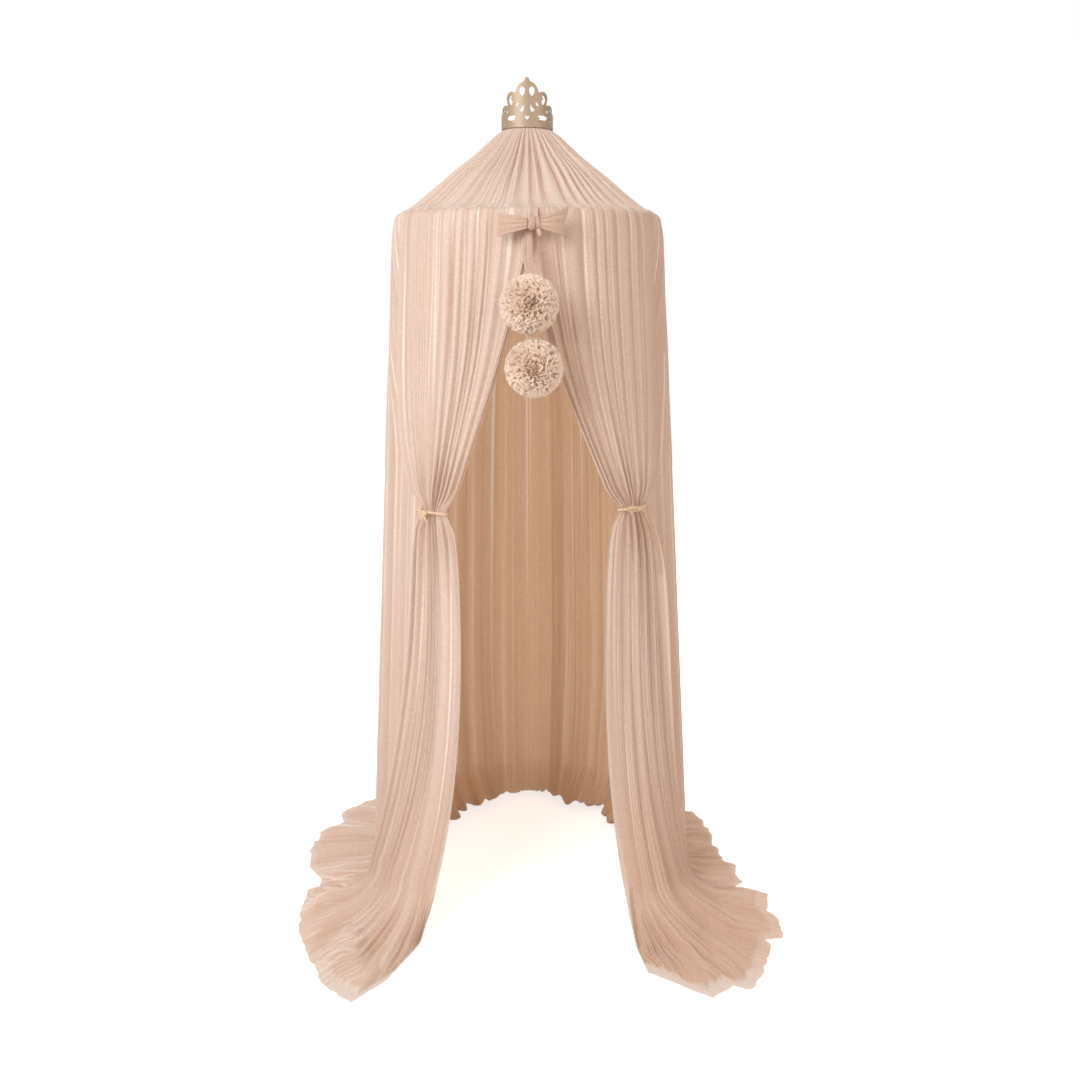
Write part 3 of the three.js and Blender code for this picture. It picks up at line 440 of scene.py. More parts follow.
tulleLook = {
    "colour": (0.735, 0.600, 0.520),
    "deepColour": (0.685, 0.525, 0.430),
    # painted shade in the creases and painted highlight on the crests, set by the fold value
    "creaseShadeColour": (0.56, 0.365, 0.265),
    "creasePower": 0.55,
    "crestHighlightColour": (0.86, 0.78, 0.71),
    "crestPower": 4.0,
    "crestShare": 0.35,
    # painted highlight lines along the pale side of the folds
    "highlightLineColour": (0.96, 0.90, 0.84),
    "lineShare": 0.85,
    # painted shade on the inside faces, with painted highlight on their ridges
    "insideShadeColour": (0.80, 0.593, 0.412),
    "insideShadeDeep": (0.72, 0.508, 0.335),
    "ridgeHighlightColour": (0.93, 0.79, 0.64),
    "ridgePower": 4.0,
    "sheerColour": (0.70, 0.595, 0.525),
    # deeper colour where cloth lies in many layers, together with painted shade
    "layeredShadeColour": (0.61, 0.420, 0.315),
    "through": 0.22,            # share of light that passes through the cloth
    "sheer": 0.08,              # how much is see-through where one layer lies alone
    "threadScale": (260, 5, 1),
    "threadShare": 1.3,
    "patchScale": 7,
    "patchShare": (0.5, -0.395),
    "grainScale": 360,
    "grain": (0.88, 1.11),      # from the darkest to the brightest speck
    "netPitch": 0.0024,         # metres
    "netRelief": 0.35,
    "bump": 0.25,
    "bumpDepth": 0.0015,
    "roughness": 0.92,
    "specular": 0.12,
    "sheen": 0.32,
    "sheenTint": (1.0, 0.97, 0.94, 1),
}
pompomLook = {
    # pale tips and a deeper heart: the deeper colour is painted shade where the ruffles shade each other
    "colour": (0.95, 0.84, 0.745),
    "deepColour": (0.84, 0.64, 0.48),
    "through": 0.42,
    "grainScale": 420,
    "bump": 0.4,
    "bumpDepth": 0.001,
    "roughness": 0.95,
    "specular": 0.1,
    "sheen": 0.25,
}
plainLooks = {
    # colour, its deeper shade, roughness, metallic, scale of the grain along x, y and z, bump, sheen
    "satinRibbon": ((0.70, 0.49, 0.315), (0.57, 0.38, 0.235), 0.40, 0.0, (900, 30, 1), 0.15, 0.3),
    "crownLacquer": ((0.365, 0.270, 0.186), (0.3285, 0.243, 0.1674), 0.48, 0.35, (30, 30, 400), 0.05, 0.0),
    "crownCutEdge": ((0.30, 0.29, 0.30), (0.22, 0.21, 0.22), 0.35, 0.8, (300, 300, 300), 0.05, 0.0),
    "zincSteel": ((0.62, 0.62, 0.62), (0.5, 0.5, 0.5), 0.3, 1.0, (200, 200, 200), 0.1, 0.0),
    "sandedBeech": ((0.66, 0.47, 0.28), (0.55, 0.37, 0.2), 0.6, 0.0, (12, 120, 40), 0.2, 0.0),
    "hoopPlastic": ((0.84, 0.82, 0.79), (0.79, 0.77, 0.74), 0.42, 0.0, (90, 90, 90), 0.06, 0.0),
}
plainSpread = (-0.06, 0.08)     # how far the roughness goes down and up with the grain
plainBumpDepth = 0.0006


# Fine net: threads run down the cloth as streaks in colour and bump, the net is a crossed wave,
# some light passes through, and the cloth turns see-through where its sheer value rises. The fold
# value paints shade into the creases and a highlight on the crests, the highlight line value paints
# pale lines along the folds, and the layer value paints deeper colour for many layers together with
# painted shade. From the back the fold value is turned round, and the colours are the deeper ones of
# the inside: painted shade, with painted highlight on its ridges.
def makeTulle(name, look):
    material, shader = newMaterial(name)
    cut = shader.add("UVMap", uv_map="cut").outputs[0]
    place = shader.place()
    inside = shader.add("NewGeometry").outputs["Backfacing"]
    threads = shader.noise(shader.stretched(cut, look["threadScale"]), 1.0, 3.0)
    patches = shader.noise(place, look["patchScale"], 4.0)
    patches = shader.calc("MULTIPLY_ADD", patches, *look["patchShare"])
    streaks = shader.calc("MULTIPLY_ADD", threads, look["threadShare"], patches)
    height = shader.calc("ABSOLUTE", shader.calc("SUBTRACT", shader.value("fold"), inside))

    cloth = shader.blend(streaks, look["deepColour"], look["colour"])
    crease = shader.calc("POWER", height, look["creasePower"])
    cloth = shader.blend(crease, look["creaseShadeColour"], cloth)
    top = shader.calc("MULTIPLY", shader.calc("POWER", height, look["crestPower"]), look["crestShare"])
    cloth = shader.blend(top, cloth, look["crestHighlightColour"])
    inner = shader.blend(streaks, look["insideShadeDeep"], look["insideShadeColour"])
    ridge = shader.calc("POWER", height, look["ridgePower"])
    inner = shader.blend(ridge, inner, look["ridgeHighlightColour"])
    colour = shader.blend(inside, cloth, inner)
    highlightLine = shader.calc("MULTIPLY", shader.value("highlightLine"), look["lineShare"])
    colour = shader.blend(highlightLine, colour, look["highlightLineColour"])
    colour = shader.blend(shader.value("layersAndShade"), colour, look["layeredShadeColour"])
    sheer = shader.value("sheer")
    colour = shader.blend(sheer, colour, look["sheerColour"])
    speck = shader.add("MapRange", {
        "Value": shader.noise(place, look["grainScale"]), "From Min": 0.3, "From Max": 0.7,
        "To Min": look["grain"][0], "To Max": look["grain"][1]}).outputs[0]
    colour = shader.add("VectorMath", {0: colour, "Scale": speck}, operation="SCALE").outputs[0]

    waves = []
    for turn in (45, -45):
        spin = shader.add("Mapping", {"Vector": cut, "Rotation": (0, 0, math.radians(turn))})
        waves.append(shader.add("TexWave", {
            "Vector": spin.outputs[0], "Scale": 0.314 / look["netPitch"], "Distortion": 0.0},
            wave_type="BANDS", bands_direction="X").outputs["Fac"])
    net = shader.calc("MAXIMUM", *waves)
    relief = shader.calc("MULTIPLY_ADD", net, look["netRelief"], threads)
    bump = shader.bumped(relief, look["bump"], look["bumpDepth"])
    front = shader.add("BsdfPrincipled", {
        "Base Color": colour, "Normal": bump, "Roughness": look["roughness"],
        "Specular IOR Level": look["specular"], "Sheen Weight": look["sheen"],
        "Sheen Roughness": 0.5, "Sheen Tint": look["sheenTint"]})
    back = shader.add("BsdfTranslucent", {"Color": colour, "Normal": bump})
    both = shader.lit(front, back, look["through"])
    clear = shader.add("BsdfTransparent")
    shader.show(shader.lit(both, clear, shader.calc("MULTIPLY", sheer, look["sheer"])))
    return material


# Cut net: pale at the tips and deeper in the heart of the ball, where its depth value is low: painted shade
# where the ruffles shade each other.
def makePompomNet(name, look):
    material, shader = newMaterial(name)
    grain = shader.noise(shader.place(), look["grainScale"])
    colour = shader.blend(shader.value("depth"), look["deepColour"], look["colour"])
    front = shader.add("BsdfPrincipled", {
        "Base Color": colour, "Normal": shader.bumped(grain, look["bump"], look["bumpDepth"]),
        "Roughness": look["roughness"], "Specular IOR Level": look["specular"],
        "Sheen Weight": look["sheen"]})
    back = shader.add("BsdfTranslucent", {"Color": colour})
    shader.show(shader.lit(front, back, look["through"]))
    return material


# A finish whose colour, roughness and bump follow stretched noise on the piece's coordinates or UVs.
def makePlain(name, reads="Object"):
    colour, deepColour, roughness, metallic, scale, bump, sheen = plainLooks[name]
    material, shader = newMaterial(name)
    grain = shader.noise(shader.stretched(shader.place(reads), scale), 1.0, 4.0)
    shine = shader.add("MapRange", {
        "Value": grain, "To Min": roughness + plainSpread[0], "To Max": roughness + plainSpread[1]})
    shader.show(shader.add("BsdfPrincipled", {
        "Base Color": shader.blend(grain, deepColour, colour), "Metallic": metallic,
        "Roughness": shine.outputs[0], "Sheen Weight": sheen,
        "Normal": shader.bumped(grain, bump, plainBumpDepth)}))
    return material


tulle = makeTulle("tulle", tulleLook)
pompomNet = makePompomNet("pompomNet", pompomLook)
satin = makePlain("satinRibbon", reads="UV")
crownMetal = makePlain("crownLacquer")
crownCut = makePlain("crownCutEdge")
steel = makePlain("zincSteel")
beech = makePlain("sandedBeech")
hoopPlastic = makePlain("hoopPlastic")
print("materials made")

# the hanging cloth

canopy = {
    "hoopRadius": 0.300,
    "hoopDrop": 0.240,          # hook to hoop
    "casingOuter": 0.0087,
    "seamAngle": 20.0,          # degrees up from level, on the casing
    "seamLift": 0.0015,         # the seam's distance from the casing
    "shoulder": 0.021,
    "flare": 0.036,
    "footSpread": 0.140,
    "shoulderReach": 0.020,
    "shoulderTop": 0.0067,      # above the hoop's middle
    "shoulderFall": 0.026,      # how far down the rounded shoulder runs
    "curtainEdge": 66.0,        # degrees from the front
    "floorLift": 0.0012,
    "floorGap": 0.0006,         # the cloth's least height over the floor
}
hoopHeight = photo["hangHeight"] - canopy["hoopDrop"]
shoulderEnd = hoopHeight + canopy["shoulderTop"] - canopy["shoulderFall"]
level = np.array([1, 1, 0])     # leaves the height out of a direction


# Outermost radius of the hanging cloth: a straight flare from hoop to floor, drawn in at the shoulder.
def drapeRadius(height):
    fallen = 1 - height / hoopHeight
    pulled = np.exp(-(hoopHeight - height) / canopy["shoulderReach"])
    return (canopy["hoopRadius"] + mix(canopy["flare"], canopy["footSpread"], fallen)
            - (canopy["flare"] - canopy["shoulder"]) * np.minimum(1, pulled))


footRadius = float(drapeRadius(0.0))


# The line on the casing that the cloth is sewn to.
def seamLine(sign, angle):
    reach = canopy["casingOuter"] + canopy["seamLift"]
    turn = math.radians(canopy["seamAngle"])
    return atAngle(sign, angle, canopy["hoopRadius"] + reach * math.cos(turn),
                   -canopy["hoopDrop"] + reach * math.sin(turn))


# The rounded shoulder: a quarter turn from the seam to the cloth below it, out by its sine and down
# by 1 less its cosine.
def shoulderPoints(seam, below, rows):
    turn = np.linspace(0, np.pi / 2, rows, endpoint=False)[:, None]
    out, down = np.sin(turn), 1 - np.cos(turn)
    return asPoints(*(mix(seam[..., axis], below[..., axis], share)
                      for axis, share in enumerate((out, out, down))))


# How far out to the hem a line on the floor is at t, from 0 to 1: a parabola that is pulled at its
# middle and reaches landRun at bendShare, then a straight line to 1.
def runOut(t, bendShare, pull, landRun):
    bend = np.clip(t / bendShare, 0, 1)
    return np.where(t < bendShare, 2 * bend * (1 - bend) * pull + landRun * bend ** 2,
                    mix(landRun, 1.0, (t - bendShare) / (1 - bendShare)))


# A grid that is for the rows on the floor, with zeros for the hanging rows above it.
def underHanging(grid, rows):
    return np.concatenate([np.zeros((rows - len(grid), grid.shape[1])), grid], axis=0)


# Places on the floor from a table of degrees from the front and shares of the foot's radius.
def polarTable(sign, table):
    degrees, reach = np.array(table).T
    return atAngle(sign, np.radians(degrees), reach * footRadius, floorZ)


# Straight lines through points, at shares of the whole length.
def alongTable(points, share):
    steps = np.linalg.norm(np.diff(points, axis=0), axis=1)
    at = np.append(0, np.cumsum(steps)) / steps.sum()
    return np.stack([np.interp(share, at, points[:, axis]) for axis in range(3)], axis=-1)


gatherLook = {
    "warp": 0.42,               # how uneven the folds are in width
    "soft": 0.08,               # how round their creases are
    "depth": (0.66, 0.34),      # the middle depth and how far it strays
    "fineWarp": 0.02,
    # the pale side of a fold carries its painted highlight line
    "lean": 0.6,                # how far past the crease the pale side lies, in radians
    "sharp": (14, 8),           # how narrow the pale side of a fold and of a fine one is
}


# Irregular gathers across a cloth: creased folds of uneven width whose depth changes slowly, with
# finer ones on them that come and go down the cloth. Gives their height, about -1 to 1, and a painted
# highlight line, 0 to 1, that rises near the sharp side of each crease and is brighter in some places.
def gathers(u, height, folds, seed, fineShare=0.12, swayBy=0.55, fineRate=2.3):
    look = gatherLook
    warp = u + look["warp"] / folds * wander(u * folds, seed, 0.5, 2.2)
    sway = swayBy * wander(height * 3.1 + 2.0 * u, seed + 1, 0.6, 2.0)
    phase = 2 * np.pi * folds * warp + sway
    depth, stray = look["depth"]
    depth = depth + stray * wander(u * folds * 0.9 + 0.7 * height, seed + 2, 0.6, 1.8)
    fineWarp = warp + look["fineWarp"] * wander(height * 2 + u * 9, seed + 3, 0.5, 1.6)
    finePhase = 2 * np.pi * folds * fineRate * fineWarp
    gate = smooth(0.5 + 0.8 * wander(height * 4 + u * folds * 1.3, seed + 4, 0.5, 1.5))
    wave = crest(phase, look["soft"]) * depth + fineShare * (crest(finePhase) - 0.2) * gate
    bright = 0.5 + 0.5 * wander(u * folds * 1.7 + height * 5, seed + 6, 0.5, 2)
    side, fineSide = (np.maximum(0, np.cos(turn - np.pi - look["lean"])) ** sharp
                      for turn, sharp in zip((phase, finePhase), look["sharp"]))
    highlightLine = (1.7 * side * depth + 3 * fineShare * fineSide * gate) * bright
    return wave / (1 + 0.5 * fineShare), np.clip(highlightLine, 0, 1)


# Broad folds in the cloth that lies on the floor: crests that wander a little on their way to the hem.
def broadFolds(u, toHem, folds, seed):
    sway = 1.5 * wander(u * 7 + 1.6 * toHem, seed, 0.6, 2.2)
    return crest(2 * np.pi * folds * u + sway + 1.2 * toHem, 0.04)


# the front curtains

curtainLook = {
    "shoulderStart": 0.006,     # the first row over the hoop's middle
    "columns": 340, "shoulderRows": 8, "upperRows": 70, "tieRows": 6, "legRows": 52, "floorRows": 56,
    "tieHeight": 1.030,
    "gather": 0.020,            # half the height over which the tie holds the cloth
    "tieRadiusShare": 1.008,
    "lap": 0.026,               # how far each curtain reaches past the middle
    "lapReach": 0.16,
    "lapGap": 0.0028,
    # powers of the drop: the pull to the tie and the spread to the foot, at the doorway and further on
    "pullFurther": 2.25, "spreadAtDoor": 4.0, "spreadFurther": -2.0,
    # depth of the folds at the hoop, above the tie, in it, on the leg and at the ends of the waist
    "topFold": 0.0016, "upperFold": 0.0095, "tieFold": 0.015, "legFold": 0.014, "endDepth": 0.002,
    "foldReach": 0.060, "tieReach": 0.110, "legReach": 0.16,
    "calm": 0.2, "calmFrom": 0.55, "calmOver": 0.25,
    "upperFine": {"fineShare": 0.20, "fineRate": 3.1},
    "legFine": {"fineShare": 0.24, "fineRate": 4.1},
    "legFrom": 0.09, "legOver": 0.14,
    "tick": 0.0010, "ticks": 78, "tickReach": 0.022, "seamRows": 5.0,
    "pinch": 0.34, "pinchReach": 0.028, "bellyReach": 0.075, "bellyFoot": 1.3,
    # how far the edges by the doorway fall back behind the pompoms, at what height, over how much of it
    "pompomRoom": 0.010, "roomHeight": 1.39, "roomReach": 0.13, "roomTo": 0.6, "roomOver": 0.4,
    # on the floor: the bend, its land and pull, and the same on the straight edge by the doorway
    "bendHeight": 0.120, "bendShare": 0.45, "landRun": 0.42, "pull": 0.06, "sag": 0.3,
    "straightEdge": 0.14, "straightRun": 0.95, "straightPull": 0.5,
    "floorExtra": 11, "floorSway": 0.012, "floorFine": {"fineShare": 0.55, "swayBy": 1.1},
    "ripple": 0.0075, "rippleStart": 1.35, "rippleHem": 0.45, "rippleDoor": 0.35,
    "floorFolds": 5.5, "broadRipple": 0.013, "broadHem": 0.35, "broadShade": 0.26,
    "hemRipple": 0.0016, "hemWander": 0.0035,
    "hemBand": 0.042, "hemSoft": 0.008, "hemBandTo": 0.38, "hemBandOver": 0.2, "hemBandLeft": 0.25,
    # the single layer beside the doorway, the deeper colour of many layers together with painted shade, also
    # in the creases on the floor, and how strong the painted highlight lines are
    "edgeBand": 0.080, "edgeSoft": 0.02, "edgeFall": 0.1, "edgeSheer": 0.6,
    "waistLayers": 0.35, "legLayersTop": 0.75, "upperOver": 0.2, "creaseLayers": 0.7, "hemClears": 0.8,
    "upperLines": 1.35, "legLines": 1.2,
}
curtainSides = {
    # shade, floorShade and the layer values paint shade into the colour, on the whole more on the right
    # side, which lies in shadow; the layer values also deepen the colour where cloth lies in many layers
    # foot and hem: degrees from the front, and shares of the foot's radius
    "left": {
        "sign": -1, "seed": 11, "folds": 11, "legFolds": 6,
        "tieAngle": 37.3, "tieShift": -0.018, "tieWidth": 0.1175, "bandHeight": 1.039, "bandHalf": 0.0385,
        "pullAtDoor": 1.16, "innerBelly": 0.020, "outerBelly": 0.012,
        "shade": 1.0, "floorShade": 0.9, "layersAndShade": 0.42, "legLayers": 1.3, "upperLayers": 0.0,
        "foot": [(31.8, 1.11), (37.5, 1.17), (52, 1.165), (63.5, 1.1)],
        "hem": [(31.5, 1.13), (29.3, 1.24), (27.8, 1.56), (29.2, 1.815), (36.8, 1.77), (43, 1.685),
                (53.8, 1.585), (61.5, 1.49), (70, 1.395), (71.5, 1.30)],
    },
    "right": {
        "sign": 1, "seed": 23, "folds": 10, "legFolds": 6,
        "tieAngle": 39.2, "tieShift": 0.010, "tieWidth": 0.129, "bandHeight": 1.046, "bandHalf": 0.0410,
        "pullAtDoor": 1.28, "innerBelly": 0.018, "outerBelly": 0.046,
        "shade": 1.3, "floorShade": 0.8, "layersAndShade": 0.92, "legLayers": 0.78, "upperLayers": 0.20,
        "foot": [(31.2, 1.15), (38, 1.19), (52, 1.18), (64, 1.11)],
        "hem": [(29.2, 1.23), (25.9, 1.46), (31.6, 1.81), (36.6, 1.79), (38, 1.865), (43, 1.825),
                (51.3, 1.71), (52.2, 1.66), (54.8, 1.735), (61, 1.635), (62.8, 1.55), (70, 1.51),
                (71.2, 1.36)],
    },
}
tieTop = curtainLook["tieHeight"] + curtainLook["gather"]
tieBottom = curtainLook["tieHeight"] - curtainLook["gather"]


# Centre of the tied waist at a place z, the level direction along it and the one out of it.
def tieFrame(side, z):
    own = curtainSides[side]
    sign, turn = own["sign"], math.radians(own["tieAngle"])
    radius = float(drapeRadius(curtainLook["tieHeight"])) * curtainLook["tieRadiusShare"]
    along = np.array([sign * math.cos(turn), math.sin(turn), 0.0])
    out = np.array([sign * math.sin(turn), -math.cos(turn), 0.0])
    return atAngle(sign, turn, radius, z) + along * own["tieShift"], along, out


# Angle from the front at a share u of a curtain's width: even from its lap to its far edge.
def hangAngle(u):
    start = -curtainLook["lap"] / canopy["hoopRadius"]
    return mix(start, math.radians(canopy["curtainEdge"]), u)


# Depth of the folds at a height: it grows away from the hoop, is an ellipse over the waist at the
# tie, and runs on to the leg's depth below it, less by the doorway.
def curtainDepth(height, u):
    look = curtainLook
    envelope = np.sqrt(np.maximum(0, 1 - (2 * u - 1) ** 2))
    calm = mix(1, look["calm"], smooth((look["calmFrom"] - u) / look["calmOver"]))
    pinch = np.exp(-((height - look["tieHeight"]) / look["tieReach"]) ** 2)
    grown = 1 - np.exp(-(hoopHeight - height) / look["foldReach"])
    above = mix(look["topFold"], look["upperFold"], grown)
    fallen = 1 - np.exp(-np.maximum(0, look["tieHeight"] - height) / look["legReach"])
    below = mix(look["tieFold"], look["legFold"] * calm, fallen)
    free = np.where(height > look["tieHeight"], above, below)
    return mix(free, look["tieFold"] * envelope + look["endDepth"], pinch)


# Above the tie: the angle and the radius run from the hoop to the waist as a power of the drop,
# later further from the doorway.
def upperCurtain(side, u, height, waist):
    look, own = curtainLook, curtainSides[side]
    drop = np.clip((hoopHeight - height) / (hoopHeight - tieTop), 0, 1)
    pull = drop ** (own["pullAtDoor"] + look["pullFurther"] * u)
    endAngle = np.arctan2(own["sign"] * waist[..., 0], -waist[..., 1])
    endRadius = np.hypot(waist[..., 0], waist[..., 1])
    radius = mix(drapeRadius(height) - curtainDepth(height, u), endRadius, pull)
    room = np.exp(-((height - look["roomHeight"]) / look["roomReach"]) ** 2)
    room = room * smooth((look["roomTo"] - u) / look["roomOver"])
    return atAngle(own["sign"], mix(hangAngle(u), endAngle, pull), radius - look["pompomRoom"] * room,
                   height + floorZ)


# Below the tie: each line spreads from the waist to its foot as a power of the fall, with a belly.
def curtainLeg(side, u, height, waist, foot):
    look, own = curtainLook, curtainSides[side]
    along = tieFrame(side, 0.0)[1]
    spread = np.maximum(0, 1 - height / tieBottom) ** (look["spreadAtDoor"] + look["spreadFurther"] * u)
    belly = 1 - np.exp(-np.maximum(0, tieBottom - height) / look["bellyReach"])
    belly = belly * smooth(height / tieBottom * look["bellyFoot"])
    belly = belly * mix(-own["innerBelly"], own["outerBelly"], u)
    points = mix(waist, foot, spread[..., None]) + along * belly[..., None]
    points[..., 2] = height + floorZ
    return points


# The cloth without its folds, as rows from the seam over the shoulder, down to the tie, down the leg
# and out over the floor, where each line bends from its leg to the hem. Also gives each row's height
# and its shares of lying and of the way to the hem, the way out and the distance from the hem.
def curtainBase(side, u):
    look, own = curtainLook, curtainSides[side]
    sign = own["sign"]
    centre, along = tieFrame(side, 0.0)[:2]
    waist = centre + along * ((u - 0.5) * own["tieWidth"])[..., None]
    foot = throughPoints(polarTable(sign, own["foot"]), u[0])[None]
    hem = alongTable(polarTable(sign, own["hem"]), u[0])[None]
    hemNoise = look["hemWander"] * wander(u * 60, own["seed"] + 9, 0.5, 3.0)
    hem = hem * (1 + level * hemNoise[..., None])
    below = upperCurtain(side, u, np.full((1, 1), shoulderEnd), waist)
    shoulder = shoulderPoints(seamLine(sign, hangAngle(u)), below, look["shoulderRows"])
    shoulderHeights = np.linspace(hoopHeight + look["shoulderStart"], shoulderEnd, look["shoulderRows"])
    upperHeights = np.linspace(shoulderEnd, tieTop, look["upperRows"])[:, None]
    tieHeights = np.linspace(tieTop, tieBottom, look["tieRows"] + 2)[1:-1][:, None]
    legHeights = np.linspace(tieBottom, look["bendHeight"], look["legRows"])[:, None]
    tied = np.repeat(waist, look["tieRows"], axis=0)
    tied[..., 2] = tieHeights + floorZ
    start = curtainLeg(side, u, np.full((1, 1), look["bendHeight"]), waist, foot)
    t = np.linspace(0, 1, look["floorRows"] + 1)[1:][:, None]
    bend = np.clip(t / look["bendShare"], 0, 1)
    straight = 1 - smooth(u / look["straightEdge"])
    landRun = mix(look["landRun"], look["straightRun"], straight)
    run = runOut(t, look["bendShare"], mix(look["pull"], look["straightPull"], straight), landRun)
    lying = mix(start, hem, run[..., None])
    rise = (1 - bend) ** 2 + 2 * bend * (1 - bend) * look["sag"]
    lying[..., 2] = floorZ + canopy["floorLift"] + look["bendHeight"] * rise
    points = np.concatenate([
        shoulder, upperCurtain(side, u, upperHeights, waist), tied,
        curtainLeg(side, u, legHeights, waist, foot), lying], axis=0)
    heights = np.concatenate([
        shoulderHeights[:, None], upperHeights, tieHeights, legHeights, look["bendHeight"] * (1 - t)])
    onFloor = underHanging(smooth(t / look["bendShare"]), len(points))
    past = np.clip((t - look["bendShare"]) / (1 - look["bendShare"]), 0, 1)
    toHem = underHanging(past, len(points))
    hemGap = (1 - toHem) * (1 - landRun) * np.linalg.norm(hem - start, axis=-1)
    return points, heights, onFloor, toHem, unit((hem - foot) * level), hemGap


# The curtain with its folds: gathers move the hanging cloth along its normals and the lying cloth
# upwards, the band draws it in, and the left curtain crosses in front of the right one.
def curtainPoints(side):
    look, own = curtainLook, curtainSides[side]
    sign, seed = own["sign"], own["seed"]
    u = np.linspace(0, 1, look["columns"])[None, :]
    points, heights, onFloor, toHem, outward, hemGap = curtainBase(side, u)
    upperWave, upperLine = gathers(u, heights, own["folds"], seed, **look["upperFine"])
    legWave, legLine = gathers(u, heights, own["legFolds"], seed + 40, **look["legFine"])
    floorU = u + look["floorSway"] * wander(toHem * 5 + u * 12, seed + 5, 0.7, 2.2)
    floorWave, floorLine = gathers(floorU, toHem, own["legFolds"] + look["floorExtra"], seed + 60,
                                   **look["floorFine"])
    broad = broadFolds(u, toHem, look["floorFolds"], seed + 70)
    toLeg = smooth((look["tieHeight"] + look["legFrom"] - heights) / look["legOver"])
    wave = mix(upperWave, legWave, toLeg)
    underHoop = np.maximum(0, hoopHeight - heights)
    ticks = crest(2 * np.pi * look["ticks"] * u + 2 * wander(u * 30, seed + 14, 0.5, 2))
    ticks = ticks * np.exp(-underHoop / look["tickReach"])
    seamFade = smooth(np.arange(len(points)) / look["seamRows"])[:, None]

    hanging = curtainDepth(heights, u) * wave * mix(0.5, 1, seamFade) + look["tick"] * ticks
    hemBand = smooth((look["hemBand"] - hemGap) / look["hemSoft"]) * onFloor
    hemBand = hemBand * mix(1, look["hemBandLeft"], smooth((u - look["hemBandTo"]) / look["hemBandOver"]))
    lying = look["ripple"] * (1 + floorWave) * mix(look["rippleStart"], look["rippleHem"], toHem)
    lying = lying * mix(look["rippleDoor"], 1, smooth(u * 4))
    swell = look["broadRipple"] * (0.5 + 0.5 * broad) * mix(1, look["broadHem"], toHem) * smooth(u * 6)
    lying = (lying + swell) * mix(1, 0.25, hemBand)
    points = points + surfaceNormals(points) * sign * (hanging * (1 - onFloor))[..., None]
    points[..., 2] += lying * onFloor
    points += outward * (look["hemRipple"] * floorWave * toHem * mix(0.3, 1, smooth(u * 4)))[..., None]
    points[..., 2] = np.maximum(points[..., 2], floorZ + canopy["floorGap"])
    drawn = look["pinch"] * np.exp(-((heights - own["bandHeight"]) / look["pinchReach"]) ** 2)
    fromWaist = points[..., :2] - tieFrame(side, 0.0)[0][:2]
    points[..., :2] -= fromWaist * (drawn * (1 - onFloor))[..., None]
    crossing = smooth(1 - u * 9) * np.exp(-underHoop / look["lapReach"])
    points[..., 1] += look["lapGap"] * sign * crossing * seamFade

    # Painted light: the fold value paints shade in the creases and highlight on the crests, with more
    # contrast and deeper floor shade on the right side, which lies in shadow; the line value paints
    # highlight lines; the layer value paints deeper colour where cloth gathers or lies in creases on the
    # floor, together with painted shade.
    fold = 0.5 + 0.5 * own["shade"] * (wave + 0.5 * ticks)
    fold = mix(fold, 0.5 + 0.42 * floorWave + look["broadShade"] * broad, onFloor)
    fold = np.clip(fold * mix(1, own["floorShade"], onFloor), 0, 1)
    highlightLine = mix(np.minimum(1, look["upperLines"] * upperLine), np.minimum(1, look["legLines"] * legLine),
               toLeg)
    highlightLine = mix(highlightLine, floorLine, onFloor) * mix(0.25, 1, seamFade)
    single = look["edgeSheer"] * smooth((look["edgeBand"] - u) / look["edgeSoft"])
    single = single * smooth((look["tieHeight"] - heights) / look["edgeFall"])
    gathered = look["waistLayers"] * np.exp(-((heights - look["tieHeight"]) / look["tieReach"]) ** 2)
    high = own["upperLayers"] * smooth((heights - look["tieHeight"]) / look["upperOver"])
    leg = own["legLayers"] * smooth(1 - heights / look["legLayersTop"])
    low = own["layersAndShade"] * mix(leg, 1 + look["creaseLayers"] * (0.5 - fold), onFloor)
    layersAndShade = np.maximum(np.maximum(gathered, high), low) * (1 - look["hemClears"] * hemBand)
    return points, {"sheer": np.maximum(hemBand, single), "fold": fold, "highlightLine": highlightLine, "layersAndShade": layersAndShade}


curtainGrids = {}
for side, own in curtainSides.items():
    points, values = curtainPoints(side)
    curtainGrids[side] = points
    piece = addGrid(f"{side}CurtainCloth", points, tulle, (1.5, 2.1), flip=own["sign"] < 0, values=values)
    settle(piece, "canopy", f"{side}_curtain")
    print(side, "curtain area", round(areaOf(piece), 3))
print("front curtains made")

# the cloth round the back

